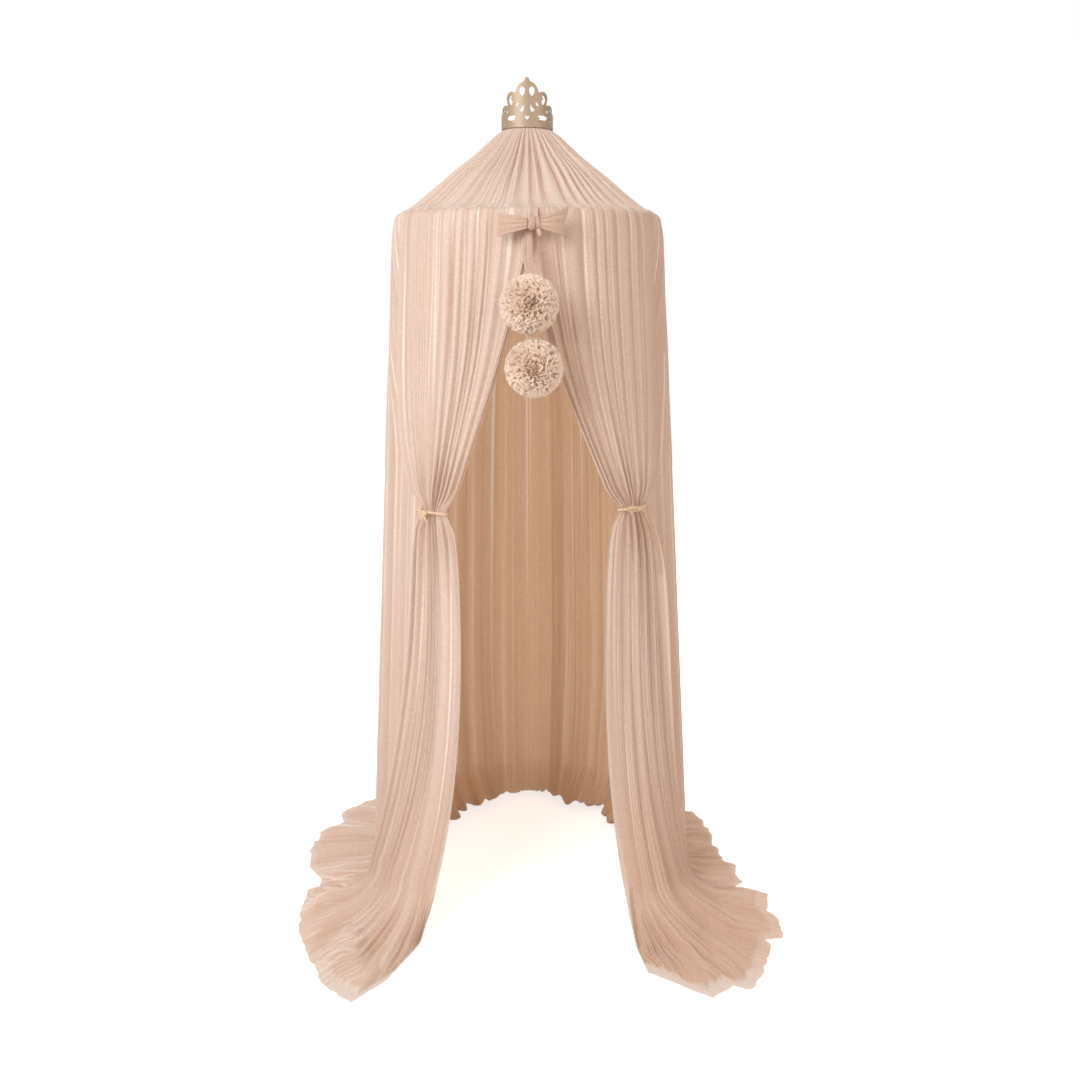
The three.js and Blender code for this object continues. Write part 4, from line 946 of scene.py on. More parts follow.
drapeLook = {
    "columns": 560, "shoulderRows": 8, "rows": 90, "floorRows": 40,
    "topEdge": 66.6, "lowEdge": 44.0,       # degrees from the front
    "edgeReach": 0.62, "seamCalm": 16,
    "inset": 0.030, "insetReach": 0.060, "insetFull": 67.0, "insetNone": 78.0,
    "folds": 11, "foldWarp": 0.022, "topFold": 0.0016, "footFold": 0.026, "growth": 0.8, "calm": 0.4,
    "fineFolds": 40, "fineShare": 0.35, "fineTop": 0.0016, "fineFold": 0.0036, "fineFoot": 0.55,
    "fineReach": 0.1,
    "drawBack": 0.050, "drawFrom": 95.0, "drawOver": 32.0, "drawHeight": 0.5,
    "bendHeight": 0.110, "bendShare": 0.55, "landRun": 0.42, "pull": 0.06, "leastRun": 0.010,
    "floorFolds": 26, "floorSway": 0.008, "floorFine": {"fineShare": 0.6, "swayBy": 1.4},
    "ripple": 0.012, "rippleStart": 1.2, "rippleHem": 0.35, "hemRipple": 0.003, "hemWander": 0.005,
    "broadFolds": 11, "broadRipple": 0.013, "broadShade": 0.24,
    # painted highlight lines up the hanging cloth and how faint they are low down, and bands of painted
    # shade
    "lines": 34, "linesLow": 0.30, "shadeStripes": 0.34,
    # degrees from the front, and how far the cloth spills inwards there at the floor
    "spill": [(60, 0.0), (80, 0.010), (104, 0.070), (122, 0.110), (140, 0.100), (165, 0.060), (180, 0.045)],
}
drapeSides = {
    # floorShade and the layer value paint shade into the cloth on the floor, more on the right side, which
    # lies in shadow
    # hem: degrees from the front, and shares of the foot's radius
    "left": {
        "sign": -1, "seed": 71, "phase": 0.0, "trim": 0.009, "floorShade": 0.9, "layersAndShade": 0.30,
        "hem": [(44, 0.98), (58, 0.99), (66, 1.2), (71.4, 1.31), (88, 1.385), (97, 1.385), (101, 1.41),
                (108, 1.30), (112, 1.38), (117, 1.37), (123, 1.355), (140, 1.31), (160, 1.33), (180, 1.29)],
    },
    "right": {
        "sign": 1, "seed": 83, "phase": 0.5, "trim": -0.002, "floorShade": 0.8, "layersAndShade": 0.80,
        "hem": [(44, 0.98), (58, 0.99), (66, 1.3), (74, 1.35), (77, 1.285), (81.5, 1.305), (84.5, 1.23),
                (96.5, 1.175), (104.5, 1.235), (117, 1.225), (130, 1.27), (150, 1.32), (165, 1.27),
                (180, 1.29)],
    },
}


# The front edge moves forwards on the way down, and the other edge stays at the back.
def drapeAngle(height, u):
    look = drapeLook
    reach = smooth((hoopHeight - height) / look["edgeReach"])
    return mix(mix(math.radians(look["topEdge"]), math.radians(look["lowEdge"]), reach), np.pi, u)


# Broad gathers across the back cloth, calm at its two edges.
def drapeWave(own, u):
    look = drapeLook
    stray = look["foldWarp"] * wander(u * 11, own["seed"], 0.5, 2.0) * smooth((1 - u) * 8) * smooth(u * 8)
    return crest(2 * np.pi * (look["folds"] * (u + stray) + own["phase"]), 0.06)


# The flare less an inset at the front edge, with broad folds that grow downwards, fine gathers that
# start at the hoop, and a draw towards the axis low down at the back.
def drapeReach(own, height, u):
    look = drapeLook
    angle = drapeAngle(height, u)
    fallen = np.clip(1 - height / hoopHeight, 0, 1)
    under = hoopHeight - height
    front = smooth((math.radians(look["insetNone"]) - angle)
                   / math.radians(look["insetNone"] - look["insetFull"]))
    inset = look["inset"] * (1 - np.exp(-under / look["insetReach"])) * front
    depth = mix(look["topFold"], look["footFold"], fallen ** look["growth"]) * mix(1, look["calm"], front)
    depth = depth * smooth((1 - u) * look["folds"])
    fineDepth = mix(look["fineTop"], look["fineFold"], smooth(under / look["fineReach"]))
    fineDepth = fineDepth * mix(1, look["fineFoot"], fallen)
    fine = gathers(u, height, look["fineFolds"], own["seed"] + 3, look["fineShare"])[0]
    fine = fine * smooth((1 - u) * look["seamCalm"])
    drawn = smooth((np.degrees(angle) - look["drawFrom"]) / look["drawOver"])
    drawn = drawn * look["drawBack"] * smooth(1 - height / look["drawHeight"])
    return (drapeRadius(height) - inset - fineDepth + depth * (drapeWave(own, u) - 1) + fineDepth * fine
            - drawn - own["trim"] * fallen * smooth(2 - 2 * u))


# Half of the back cloth, from behind the tied curtain to the centre of the back: rows at the flare's
# radius, over the shoulder and down, and at the floor each line bends out to the hem.
def drapePoints(side):
    look, own = drapeLook, drapeSides[side]
    sign, seed = own["sign"], own["seed"]
    u = np.linspace(0, 1, look["columns"])[None, :]
    atSeam = smooth((1 - u) * look["seamCalm"])

    def hang(height):
        return atAngle(sign, drapeAngle(height, u), drapeReach(own, height, u), height + floorZ)

    seam = seamLine(sign, drapeAngle(np.full((1, 1), hoopHeight), u))
    shoulder = shoulderPoints(seam, hang(np.full((1, 1), shoulderEnd)), look["shoulderRows"])
    heights = np.linspace(shoulderEnd, look["bendHeight"], look["rows"])[:, None]
    wave = drapeWave(own, u)
    angle = drapeAngle(np.zeros((1, 1)), u)
    base = drapeReach(own, np.zeros((1, 1)), u)
    hem = np.interp(np.degrees(angle), *np.array(own["hem"]).T) * footRadius
    hem = hem + look["hemRipple"] * wave * atSeam
    hem = hem + look["hemWander"] * wander(u * 60, seed + 8, 0.5, 3.0) * atSeam
    end = base + np.maximum(hem - base, look["leastRun"])
    t = np.linspace(0, 1, look["floorRows"] + 1)[1:][:, None]
    bend = np.clip(t / look["bendShare"], 0, 1)
    floorU = u + look["floorSway"] * wander(t * 4 + u * 9, seed + 6, 0.7, 2)
    floorWave, floorLine = gathers(floorU, t, look["floorFolds"], seed + 5, **look["floorFine"])
    broad = broadFolds(u, t, look["broadFolds"], seed + 40) * atSeam
    lift = look["ripple"] * (1 + floorWave * atSeam) * mix(look["rippleStart"], look["rippleHem"], t)
    lift = lift + look["broadRipple"] * (0.5 + 0.5 * broad) * mix(1, look["rippleHem"], t)
    z = floorZ + canopy["floorGap"] + look["bendHeight"] * (1 - bend) ** 3 + lift * smooth(t / 0.5)
    spill = np.interp(np.degrees(angle), *np.array(look["spill"]).T)
    spill = spill * (1 + 0.28 * wander(u * 26, seed + 12, 0.5, 2.5) * atSeam)
    start = drapeReach(own, np.full((1, 1), look["bendHeight"]), u)
    radius = mix(start, end, runOut(t, look["bendShare"], look["pull"], look["landRun"]))
    lying = atAngle(sign, angle, radius - spill * np.sin(np.pi * bend), z)
    points = np.concatenate([shoulder, hang(heights), lying], axis=0)

    rows = len(points)
    past = np.clip((t - look["bendShare"]) / (1 - look["bendShare"]), 0, 1)
    toHem, onFloor = underHanging(past, rows), underHanging(smooth(t / 0.4), rows)
    allHeights = np.concatenate([np.full((len(shoulder), 1), hoopHeight), heights, np.zeros_like(t)])
    fine, fineLine = gathers(u, allHeights, look["fineFolds"], seed + 3, look["fineShare"])
    # Painted light: the fold value paints shade in the creases and highlight on the crests, deeper on the
    # right side's floor, which lies in shadow; pale lines paint highlights along the ridges; bands of
    # painted shade run down the hanging cloth; and the layer value on the floor paints deeper colour
    # together with shade.
    lyingFold = 0.5 + 0.42 * underHanging(floorWave, rows) + look["broadShade"] * underHanging(broad, rows)
    fold = mix(0.5 + 0.5 * (0.75 * fine + 0.25 * wave), lyingFold, onFloor)
    phase = 2 * np.pi * look["lines"] * (u + 0.02 * wander(u * 30, seed + 20, 0.5, 2))
    phase = phase + 0.5 * wander(allHeights * 2 + u * 10, seed + 21, 0.5, 2)
    paleHighlight = np.maximum(0, np.cos(phase)) ** 8
    paleHighlight = paleHighlight * mix(look["linesLow"], 1, smooth(1.7 * allHeights / hoopHeight - 0.45))
    paleHighlight = paleHighlight * smooth(0.35 + 1.1 * wander(u * 37 + allHeights * 1.3, seed + 15, 0.5, 2.5))
    highlightLine = mix(np.maximum(np.minimum(1, 1.4 * paleHighlight), 0.4 * fineLine),
               0.8 * underHanging(floorLine, rows), onFloor)
    shadeStripes = smooth(0.35 + 0.9 * wander(u * 46 + 0.3 * allHeights, seed + 31, 0.5, 2.5))
    shadeStripes = look["shadeStripes"] * shadeStripes * atSeam * smooth(3 * u)
    return points, {
        "sheer": 0.35 * smooth((toHem - 0.8) / 0.1),
        "fold": np.clip(fold * mix(1, own["floorShade"], onFloor), 0, 1),
        "highlightLine": highlightLine,
        "layersAndShade": mix(shadeStripes, own["layersAndShade"], onFloor),
    }


for side, own in drapeSides.items():
    points, values = drapePoints(side)
    piece = addGrid(f"{side}BackCloth", points, tulle, (2.0, 2.0), flip=own["sign"] < 0, values=values)
    settle(piece, "canopy", f"back_drape_{side}")
    print(side, "drape area", round(areaOf(piece), 3))
print("back cloth made")

# the roof

roofLook = {
    "columns": 860, "steps": 8, "folds": 58, "seed": 5,
    "rows": [
        # radius, height, fold depth
        (0.0539, -0.0199, 0.0006), (0.0539, -0.0333, 0.0006), (0.0605, -0.0402, 0.0010),
        (0.0800, -0.0550, 0.0030), (0.1341, -0.1040, 0.0064), (0.1900, -0.1470, 0.0074),
        (0.2526, -0.1985, 0.0058), (0.2850, -0.2222, 0.0036), (0.3000, -0.2300, 0.0014),
        (0.3070, -0.2322, 0.0014), (0.3125, -0.2360, 0.0014), (0.3142, -0.2400, 0.0010),
    ],
    "lipFrom": 0.290, "lipOver": 0.02, "lipOut": 0.0006, "lipUp": 0.0010,
}


# A cone of cloth whose outline is a smooth curve through the rows, gathered across its slope. The
# gathers sit in the same places all the way up, so they crowd together at the crown. Their noise
# runs on the sine and cosine of the angle, so that the first and the last gather meet.
def roofPoints():
    look, seed = roofLook, roofLook["seed"]
    rows = np.array(look["rows"])
    outline = pathThrough(rows, (len(rows) - 1) * look["steps"] + 1)
    radius, z, depth = (outline[:, k][:, None] for k in range(3))
    slope = unit(np.gradient(outline[:, :2], axis=0))
    angle = 2 * np.pi * np.linspace(0, 1, look["columns"], endpoint=False)[None, :]
    cosine, sine = np.cos(angle), np.sin(angle)
    stray = wander(cosine * 9 + 3, seed, 0.4, 2.5) + wander(sine * 9, seed + 1, 0.4, 2.5)
    warped = look["folds"] * angle + 1.5 * stray
    main = crest(warped + 0.5 * wander(radius * 9 + 2 * cosine, seed + 2, 0.5, 2), 0.02)
    size = 0.72 + 0.3 * wander(cosine * 14, seed + 3, 0.5, 3) * wander(sine * 14, seed + 4, 0.5, 3)
    fine = crest(warped * 2 + stray * 2 + 1.0, 0.02)
    gate = smooth(0.4 + wander(radius * 14 + 6 * np.sin(angle * 3), seed + 5, 0.5, 2))
    wave = main * size + 0.35 * gate * fine
    fold = depth * (wave - 0.55)
    lip = smooth((radius - look["lipFrom"]) / look["lipOver"])
    ragged = wander(cosine * 40, seed + 7, 0.5, 3) + wander(sine * 40, seed + 8, 0.5, 3)
    points = atAngle(1, angle, radius - slope[:, 1:2] * fold + look["lipOut"] * lip * ragged,
                     z + slope[:, 0:1] * fold + look["lipUp"] * lip * ragged)
    # Painted highlight lines along the pale side of the gathers, a little painted light over the right half,
    # which lies in shade, and a fold value that paints shade in the creases and highlight on the crests.
    highlightLine = 1.25 * np.maximum(0, np.cos(warped + 0.9 - np.pi)) ** 14 * np.clip(0.5 + ragged, 0, 1)
    highlightLine = np.clip(np.maximum(highlightLine, 0.07 + 0.12 * np.maximum(0, sine)), 0, 1)
    return points, {"fold": np.clip(0.60 + 0.48 * wave, 0, 1), "highlightLine": highlightLine}


points, values = roofPoints()
roofPiece = addGrid("roofCloth", points, tulle, (4.2, 0.33), closedAcross=True, values=values)
settle(roofPiece, "canopy", "roof")
print("roof area", round(areaOf(roofPiece), 3))
print("roof made")

# the sleeve on the hoop and the ribbon round the neck

sleeveLook = {"tube": 0.0082, "gathers": 170, "gather": 0.0004, "columns": 680, "ring": 14, "opening": 0.03}


# A sleeve round the hoop: a ring of circles with small gathers along it, open at its seam.
def sleevePoints(look):
    turn = np.linspace(0, 2 * np.pi, look["columns"], endpoint=False)[None, :]
    around = np.linspace(look["opening"], 2 * np.pi - look["opening"], look["ring"])[:, None]
    around = around + math.radians(canopy["seamAngle"])
    tube = look["tube"] + look["gather"] * crest(look["gathers"] * turn)
    radius = canopy["hoopRadius"] + tube * np.cos(around)
    return atAngle(1, turn, radius, -canopy["hoopDrop"] + tube * np.sin(around))


sleeve = addGrid("hoopSleeve", sleevePoints(sleeveLook), tulle, (1.885, 0.052), closedAcross=True, flip=True)
settle(sleeve, "canopy", "hoop_casing")

neckLow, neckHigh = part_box("roof_binding")
neckLook = {"thickness": 0.0014, "ripple": 0.0003, "points": 220}


# A ribbon wound once round the gathered neck: a circle with a small sine for each gather.
def makeNeckRibbon(look):
    turn = np.linspace(0, 2 * np.pi, look["points"], endpoint=False)
    outer = neckHigh.x - look["thickness"] / 2
    radius = outer + look["ripple"] * np.sin(roofLook["folds"] * turn)
    path = atAngle(1, turn, radius, (neckLow.z + neckHigh.z) / 2)
    return addRibbon("neckRibbon", path, (0, 0, 1), (neckHigh.z - neckLow.z) / 2, look["thickness"] / 2,
                     satin, (0.006, 0.36), closed=True)


settle(makeNeckRibbon(neckLook), "canopy", "roof_binding")
print("sleeve and neck ribbon made")

# the crown

crownShape = {
    "radius": 0.063, "wall": 0.0016, "rim": -0.038,
    "top": 112.6, "pitch": 1.08,    # millimetres, as the outlines below
    "columns": 366,
    "snap": 0.6,                    # how near an outline a point moves on to it, in pitches
    "rimGap": 0.1, "probe": 0.05, "rounds": 3, "sharp": 40,
}
# Half of the outline and of each hole, in millimetres round the front from its middle and up from the
# rim. Each list is one smooth stretch, and the outline has a corner where two stretches meet.
crownTop = [
    [(0, 112.4), (3.8, 111), (5.6, 107.2), (6.2, 104.6), (8.6, 102.5)],
    [(8.6, 102.5), (13, 101.2), (19.5, 97), (25.2, 89), (27.8, 81.5), (28.4, 77.6)],
    [(28.4, 77.6), (33, 79.8), (39, 81.4), (45, 80.6), (50.8, 77.4), (54.8, 70.5), (54.8, 62), (52.6, 55),
     (51.5, 50.8)],
    [(51.5, 50.8), (57, 51.6), (63, 52), (70, 50.3), (76, 46), (79, 41.3), (78.4, 37), (75.5, 34)],
    [(75.5, 34), (82, 34.6), (90, 33), (97, 28.5), (100, 23.5), (104, 20)],
    [(104, 20), (230, 20)], [(230, 20), (230, 0)], [(230, 0), (0, 0)],
]
crownHoles = [
    [[(12, 69.2), (6.6, 76), (4.9, 82.5), (6.6, 88.8), (11.8, 91.6), (17, 88.8), (18.8, 82.5), (17, 76),
      (12, 69.2)]],
    [[(40.2, 73), (46.3, 69.8), (48.9, 62.6), (46.3, 56), (41, 50.2)],
     [(41, 50.2), (36.8, 55.6), (37.8, 61.8)], [(37.8, 61.8), (42.6, 65)],
     [(42.6, 65), (38.4, 70), (40.2, 73)]],
    [[(28.6, 46.6), (23.6, 49), (20.9, 52.6), (21.8, 56), (25.6, 55.6), (28.4, 51.6), (28.6, 46.6)]],
    [[(9, 51.4), (7.8, 46), (8.4, 40), (11.8, 32.8)], [(11.8, 32.8), (14, 35.6), (20.6, 39)],
     [(20.6, 39), (16.4, 41.4), (12.6, 45), (9, 51.4)]],
    [[(68, 36), (66.6, 41), (69.4, 45), (72.6, 43), (72, 38.4), (68, 36)]],
    [[(53.4, 33), (52, 36.4), (55.4, 40), (58.4, 38.6), (57.2, 34.6), (53.4, 33)]],
    [[(56, 22.8), (47.8, 26.4), (38.2, 27.6), (30.8, 26.6), (26.4, 24.4)],
     [(26.4, 24.4), (29.2, 22), (33.6, 20.2)], [(33.6, 20.2), (28.8, 17.2), (28.8, 14.2), (24.8, 10.2)],
     [(24.8, 10.2), (35, 11.8), (43.8, 14.8), (51, 18.8), (56, 22.8)]],
    [[(69, 22), (73, 20), (80, 14)], [(80, 14), (75.6, 11.4), (70.4, 14), (69, 22)]],
]
crownDrop = [[(0, 14.6), (5.4, 23.2)], [(5.4, 23.2), (4.4, 25.6), (0, 24.4)],
             [(0, 24.4), (-4.4, 25.6), (-5.4, 23.2)], [(-5.4, 23.2), (0, 14.6)]]


# Points of an outline: a smooth curve through each stretch, four steps from point to point.
def outlineOf(stretches):
    return np.vstack([pathThrough(part, 4 * (len(part) - 1) + 1)[:-1] for part in stretches])


# How far places (n, 2) lie inside an outline, by the distance to its nearest side and by how many
# sides a line to the right crosses. Negative outside.
def insideBy(places, outline):
    start, step = outline, np.roll(outline, -1, axis=0) - outline
    gap = places[:, None] - start
    share = np.clip((gap * step).sum(-1) / np.maximum((step ** 2).sum(-1), 1e-9), 0, 1)
    near = np.linalg.norm(gap - share[..., None] * step, axis=-1).min(axis=1)
    end = start + step
    spans = (start[:, 1] > places[:, 1:]) != (end[:, 1] > places[:, 1:])
    rise = np.where(np.abs(step[:, 1]) < 1e-9, 1e-9, step[:, 1])
    crossing = start[:, 0] + (places[:, 1:] - start[:, 1]) / rise * step[:, 0]
    inside = (spans & (places[:, :1] < crossing)).sum(axis=1) % 2 == 1
    return np.where(inside, near, -near)


# How far places on the unrolled band lie inside its metal: inside the outline and outside each hole.
def metalBy(places):
    half = outlineOf(crownTop)
    depth = insideBy(places, np.vstack([half, half[::-1] * [-1, 1]]))
    folded = np.stack([np.abs(places[:, 0]), places[:, 1]], axis=-1)
    for hole in crownHoles:
        depth = np.minimum(depth, -insideBy(folded, outlineOf(hole)))
    return np.minimum(depth, -insideBy(places, outlineOf(crownDrop)))


# A grid on the unrolled band. Its points near an outline move on to it, along the slope of the
# distance, the squares and three-cornered pieces that lie in the metal are kept, and the band is
# rolled up and given its thickness.
def makeCrown(look):
    turnLength = 2 * np.pi * look["radius"] * 1000
    across = (np.arange(look["columns"]) + 0.5) * turnLength / look["columns"] - turnLength / 2
    rows = int(look["top"] / look["pitch"]) + 2
    places = np.stack(np.meshgrid(across, np.arange(rows) * look["pitch"]), axis=-1).reshape(-1, 2)
    depth = metalBy(places)
    close = (np.abs(depth) < look["snap"] * look["pitch"]) & (places[:, 1] > look["rimGap"])
    moved = places[close]
    for turn in range(look["rounds"]):
        here = metalBy(moved)
        slope = np.stack([metalBy(moved + [look["probe"], 0]) - here,
                          metalBy(moved + [0, look["probe"]]) - here], axis=-1) / look["probe"]
        slope /= np.maximum((slope ** 2).sum(-1, keepdims=True), 0.25)
        moved = moved - np.clip(here[:, None] * slope, -look["pitch"] / 2, look["pitch"] / 2)
    places[close] = moved
    onRim = (places[:, 1] < look["rimGap"]) & (depth > -look["rimGap"])
    kept = (depth > 0) | close | onRim
    points = atAngle(1, places[:, 0] / 1000 / look["radius"], look["radius"],
                     look["rim"] + places[:, 1] / 1000)
    quads = gridFaces(rows, look["columns"], closedAcross=True, flip=True)[0]
    count = kept[quads].sum(axis=1)
    whole = quads[count == 4]
    partial = quads[count == 3]
    gone = (~kept[partial]).argmax(axis=1)
    threes = np.take_along_axis(partial, (gone[:, None] + np.arange(1, 4)) % 4, axis=1)
    used, renumbered = np.unique(np.concatenate([whole.ravel(), threes.ravel()]), return_inverse=True)
    whole, threes = renumbered[:whole.size].reshape(-1, 4), renumbered[whole.size:].reshape(-1, 3)
    crown = addMesh("crownBand", points[used], [whole, threes], [crownMetal, crownCut])
    thicken(crown, look["wall"], -1, rim=1)
    crown.data.set_sharp_from_angle(angle=math.radians(look["sharp"]))
    return crown


crown = makeCrown(crownShape)
settle(crown, "crown", "crown_band")
print("crown made", len(crown.data.polygons))

# the bow

bowLook = {
    "middle": (0.0195, -0.3665, -0.2740),
    "knotHalf": 0.0120,
    "depth": 0.0085,        # half the gap between front and back layer
    "waist": 0.0100,        # half the loop's height beside the knot
    "pleat": 0.0026,
    "uneven": 0.002,
    "layersAndShade": 0.5,
    "columns": 84, "rows": 40,
    "thickness": 0.0012,
}
bowLoops = {
    # reach, top and bottom of the outer end from the middle, how far its corners lean out, flat size
    "left": {"sign": -1, "reach": 0.0735, "top": 0.0215, "bottom": -0.0300, "lean": -0.003, "seed": 3,
             "flat": (0.15, 0.045)},
    "right": {"sign": 1, "reach": 0.0600, "top": 0.0350, "bottom": -0.0285, "lean": 0.006, "seed": 8,
              "flat": (0.125, 0.05)},
}
knotWraps = [
    # middle from the bow's, half width, half height, half depth, lean
    ((-0.0056, -0.0012, -0.0010), 0.0090, 0.0150, 0.0100, 0.10),
    ((0.0072, 0.0004, 0.0002), 0.0084, 0.0128, 0.0090, -0.16),
]
knotEnd = {
    "path": [(0.0262, -0.3655, -0.281), (0.0275, -0.3690, -0.289), (0.0300, -0.3690, -0.2965),
             (0.0322, -0.3670, -0.3005)],
    "halfWidth": 0.0056, "halfThickness": 0.0010, "narrow": 0.6, "across": (1.0, 0.15, 0.3), "points": 18,
}
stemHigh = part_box("bow_knot")[1]
stemLook = {"x": 0.0135, "front": -0.3600, "radius": 0.0034, "points": 8}


# A ribbon loop: along its length it runs out in front, turns at the outer end and comes back behind,
# as sine and half a double sine. Its height grows outwards, and pleats fan out from the knot.
def bowLoopPoints(own):
    look, seed = bowLook, own["seed"]
    t = np.linspace(0.02, 0.98, look["columns"])[None, :]
    v = np.linspace(1, -1, look["rows"])[:, None]
    out = np.sin(np.pi * t) ** 0.8
    up = mix(look["waist"], own["top"], out ** 1.15)
    down = mix(-look["waist"], own["bottom"], out ** 1.15)
    z = mix(down, up, (v + 1) / 2)
    gap = look["depth"] * np.cos(np.pi * t) * (0.35 + 0.65 * np.sin(np.pi * np.clip(out, 0, 1)) ** 0.7)
    gap = gap * (0.85 + 0.15 * np.cos(np.pi * v / 2))
    pleats = np.cos(np.pi * (3.4 * v + 0.4 * seed)) * (1 - out) ** 0.5
    pleats = pleats + 0.35 * wander(v * 6 + 2 * t, seed, 0.6, 2.4)
    y = -gap - look["pleat"] * pleats * np.sin(np.pi * t) ** 0.4 * (1 - 0.55 * out)
    x = look["knotHalf"] * 0.6 + own["reach"] * out + own["lean"] * v * out ** 2
    x = x + look["uneven"] * wander(v * 3, seed + 1, 0.5, 2) * out ** 3
    lag = 0.5 * x ** 2 / canopy["hoopRadius"]
    middle = look["middle"]
    points = asPoints(middle[0] + own["sign"] * x, middle[1] + y + lag, middle[2] + z)
    # The fold value paints shade in the pleats' hollows and highlight on their tops, darker on the whole,
    # and the layer value adds painted shade to the bow.
    fold = np.clip(0.36 + 0.34 * pleats * (1 - 0.5 * out), 0.02, 1)
    return points, {"fold": fold, "layersAndShade": look["layersAndShade"]}


# Ribbon wound round the waist of the bow: rounded ends along its width, grooves that run round it.
def wrapPoints(offset, halfWidth, halfHeight, halfDepth, lean, rows=30, columns=44):
    s = -np.cos(np.linspace(0, np.pi, rows + 2)[1:-1, None])
    turn = np.linspace(0, 2 * np.pi, columns, endpoint=False)[None, :]
    share = (1 - np.abs(s) ** 2.8) ** (1 / 2.2)
    share = share * (1 + 0.07 * np.cos(4.2 * np.pi * s + 1.2 * np.sin(turn)) * (1 - s ** 2))
    x = halfWidth * s + lean * halfHeight * np.sin(turn) * share
    centre = np.add(bowLook["middle"], offset)
    return asPoints(centre[0] + x, centre[1] - halfDepth * share * np.cos(turn),
                    centre[2] + halfHeight * share * np.sin(turn))


for side, own in bowLoops.items():
    points, values = bowLoopPoints(own)
    loop = addGrid(f"{side}BowLoop", points, tulle, (0.16, 0.05), flip=own["sign"] < 0, values=values)
    thicken(loop, bowLook["thickness"], 0)
    settle(loop, "canopy", f"bow_loop_{side}")
    print(side, "loop area", round(areaOf(loop) / 2, 5))

# The knot's wraps take a low fold value and a layer value: painted shade.
for number, wrap in enumerate(knotWraps):
    knot = addGrid(f"bowKnotWrap{number + 1}", wrapPoints(*wrap), tulle, (0.03, 0.06), closedAcross=True,
                   capped=True, values={"fold": 0.38, "layersAndShade": 0.4})
    settle(knot, "canopy", "bow_knot" if number == 0 else None)
    print("wrap area", round(areaOf(knot) / 2, 5))

endWidth = knotEnd["halfWidth"] * np.linspace(knotEnd["narrow"], 1, knotEnd["points"])
endPiece = addRibbon("bowKnotEnd", pathThrough(knotEnd["path"], knotEnd["points"]), knotEnd["across"],
                     endWidth, knotEnd["halfThickness"], tulle, (0.02, 0.03), creases=0.4)
settle(endPiece, "canopy")
print("end area", round(areaOf(endPiece) / 2, 5))

stemPath = np.linspace((stemLook["x"], stemLook["front"], bowLook["middle"][2]),
                       (stemLook["x"], stemHigh.y, bowLook["middle"][2]), stemLook["points"])
stemPiece = addRibbon("bowStem", stemPath, (1, 0, 0), stemLook["radius"], stemLook["radius"], tulle,
                      (0.02, 0.04), boxy=1.0)
settle(stemPiece, "canopy")
print("bow made")

# the pompoms and their straps

pompomShape = {
    "radius": 0.066, "count": 330, "across": 26, "along": 6,
    "root": 0.58, "core": 0.80,         # shares of the radius
    "halfLength": (0.016, 0.026), "wave": (0.0030, 0.0046), "bend": (-0.004, 0.004), "waveLength": 0.0135,
    # how far the ruffles turn, everywhere and near the front, and how far that reaches
    "spread": 0.26, "poleSpread": 1.2, "poleReach": 0.45,
    "tilt": 0.04, "jitter": 0.7, "ragged": 0.022,
    # where the painted shade of the heart gives way to the pale tips
    "paleFrom": 0.66, "paleOver": 0.32,
}
pompoms = {
    # where it hangs, seed, and how much further in its pale tips reach: painted light, more on the upper
    # one, which hangs in the canopy's shade
    "upper": {"centre": (0.0078, -0.4245, -0.4475), "seed": 41, "paleHighlight": 0.10},
    "lower": {"centre": (0.0182, -0.4245, -0.5845), "seed": 57, "paleHighlight": 0.03},
}


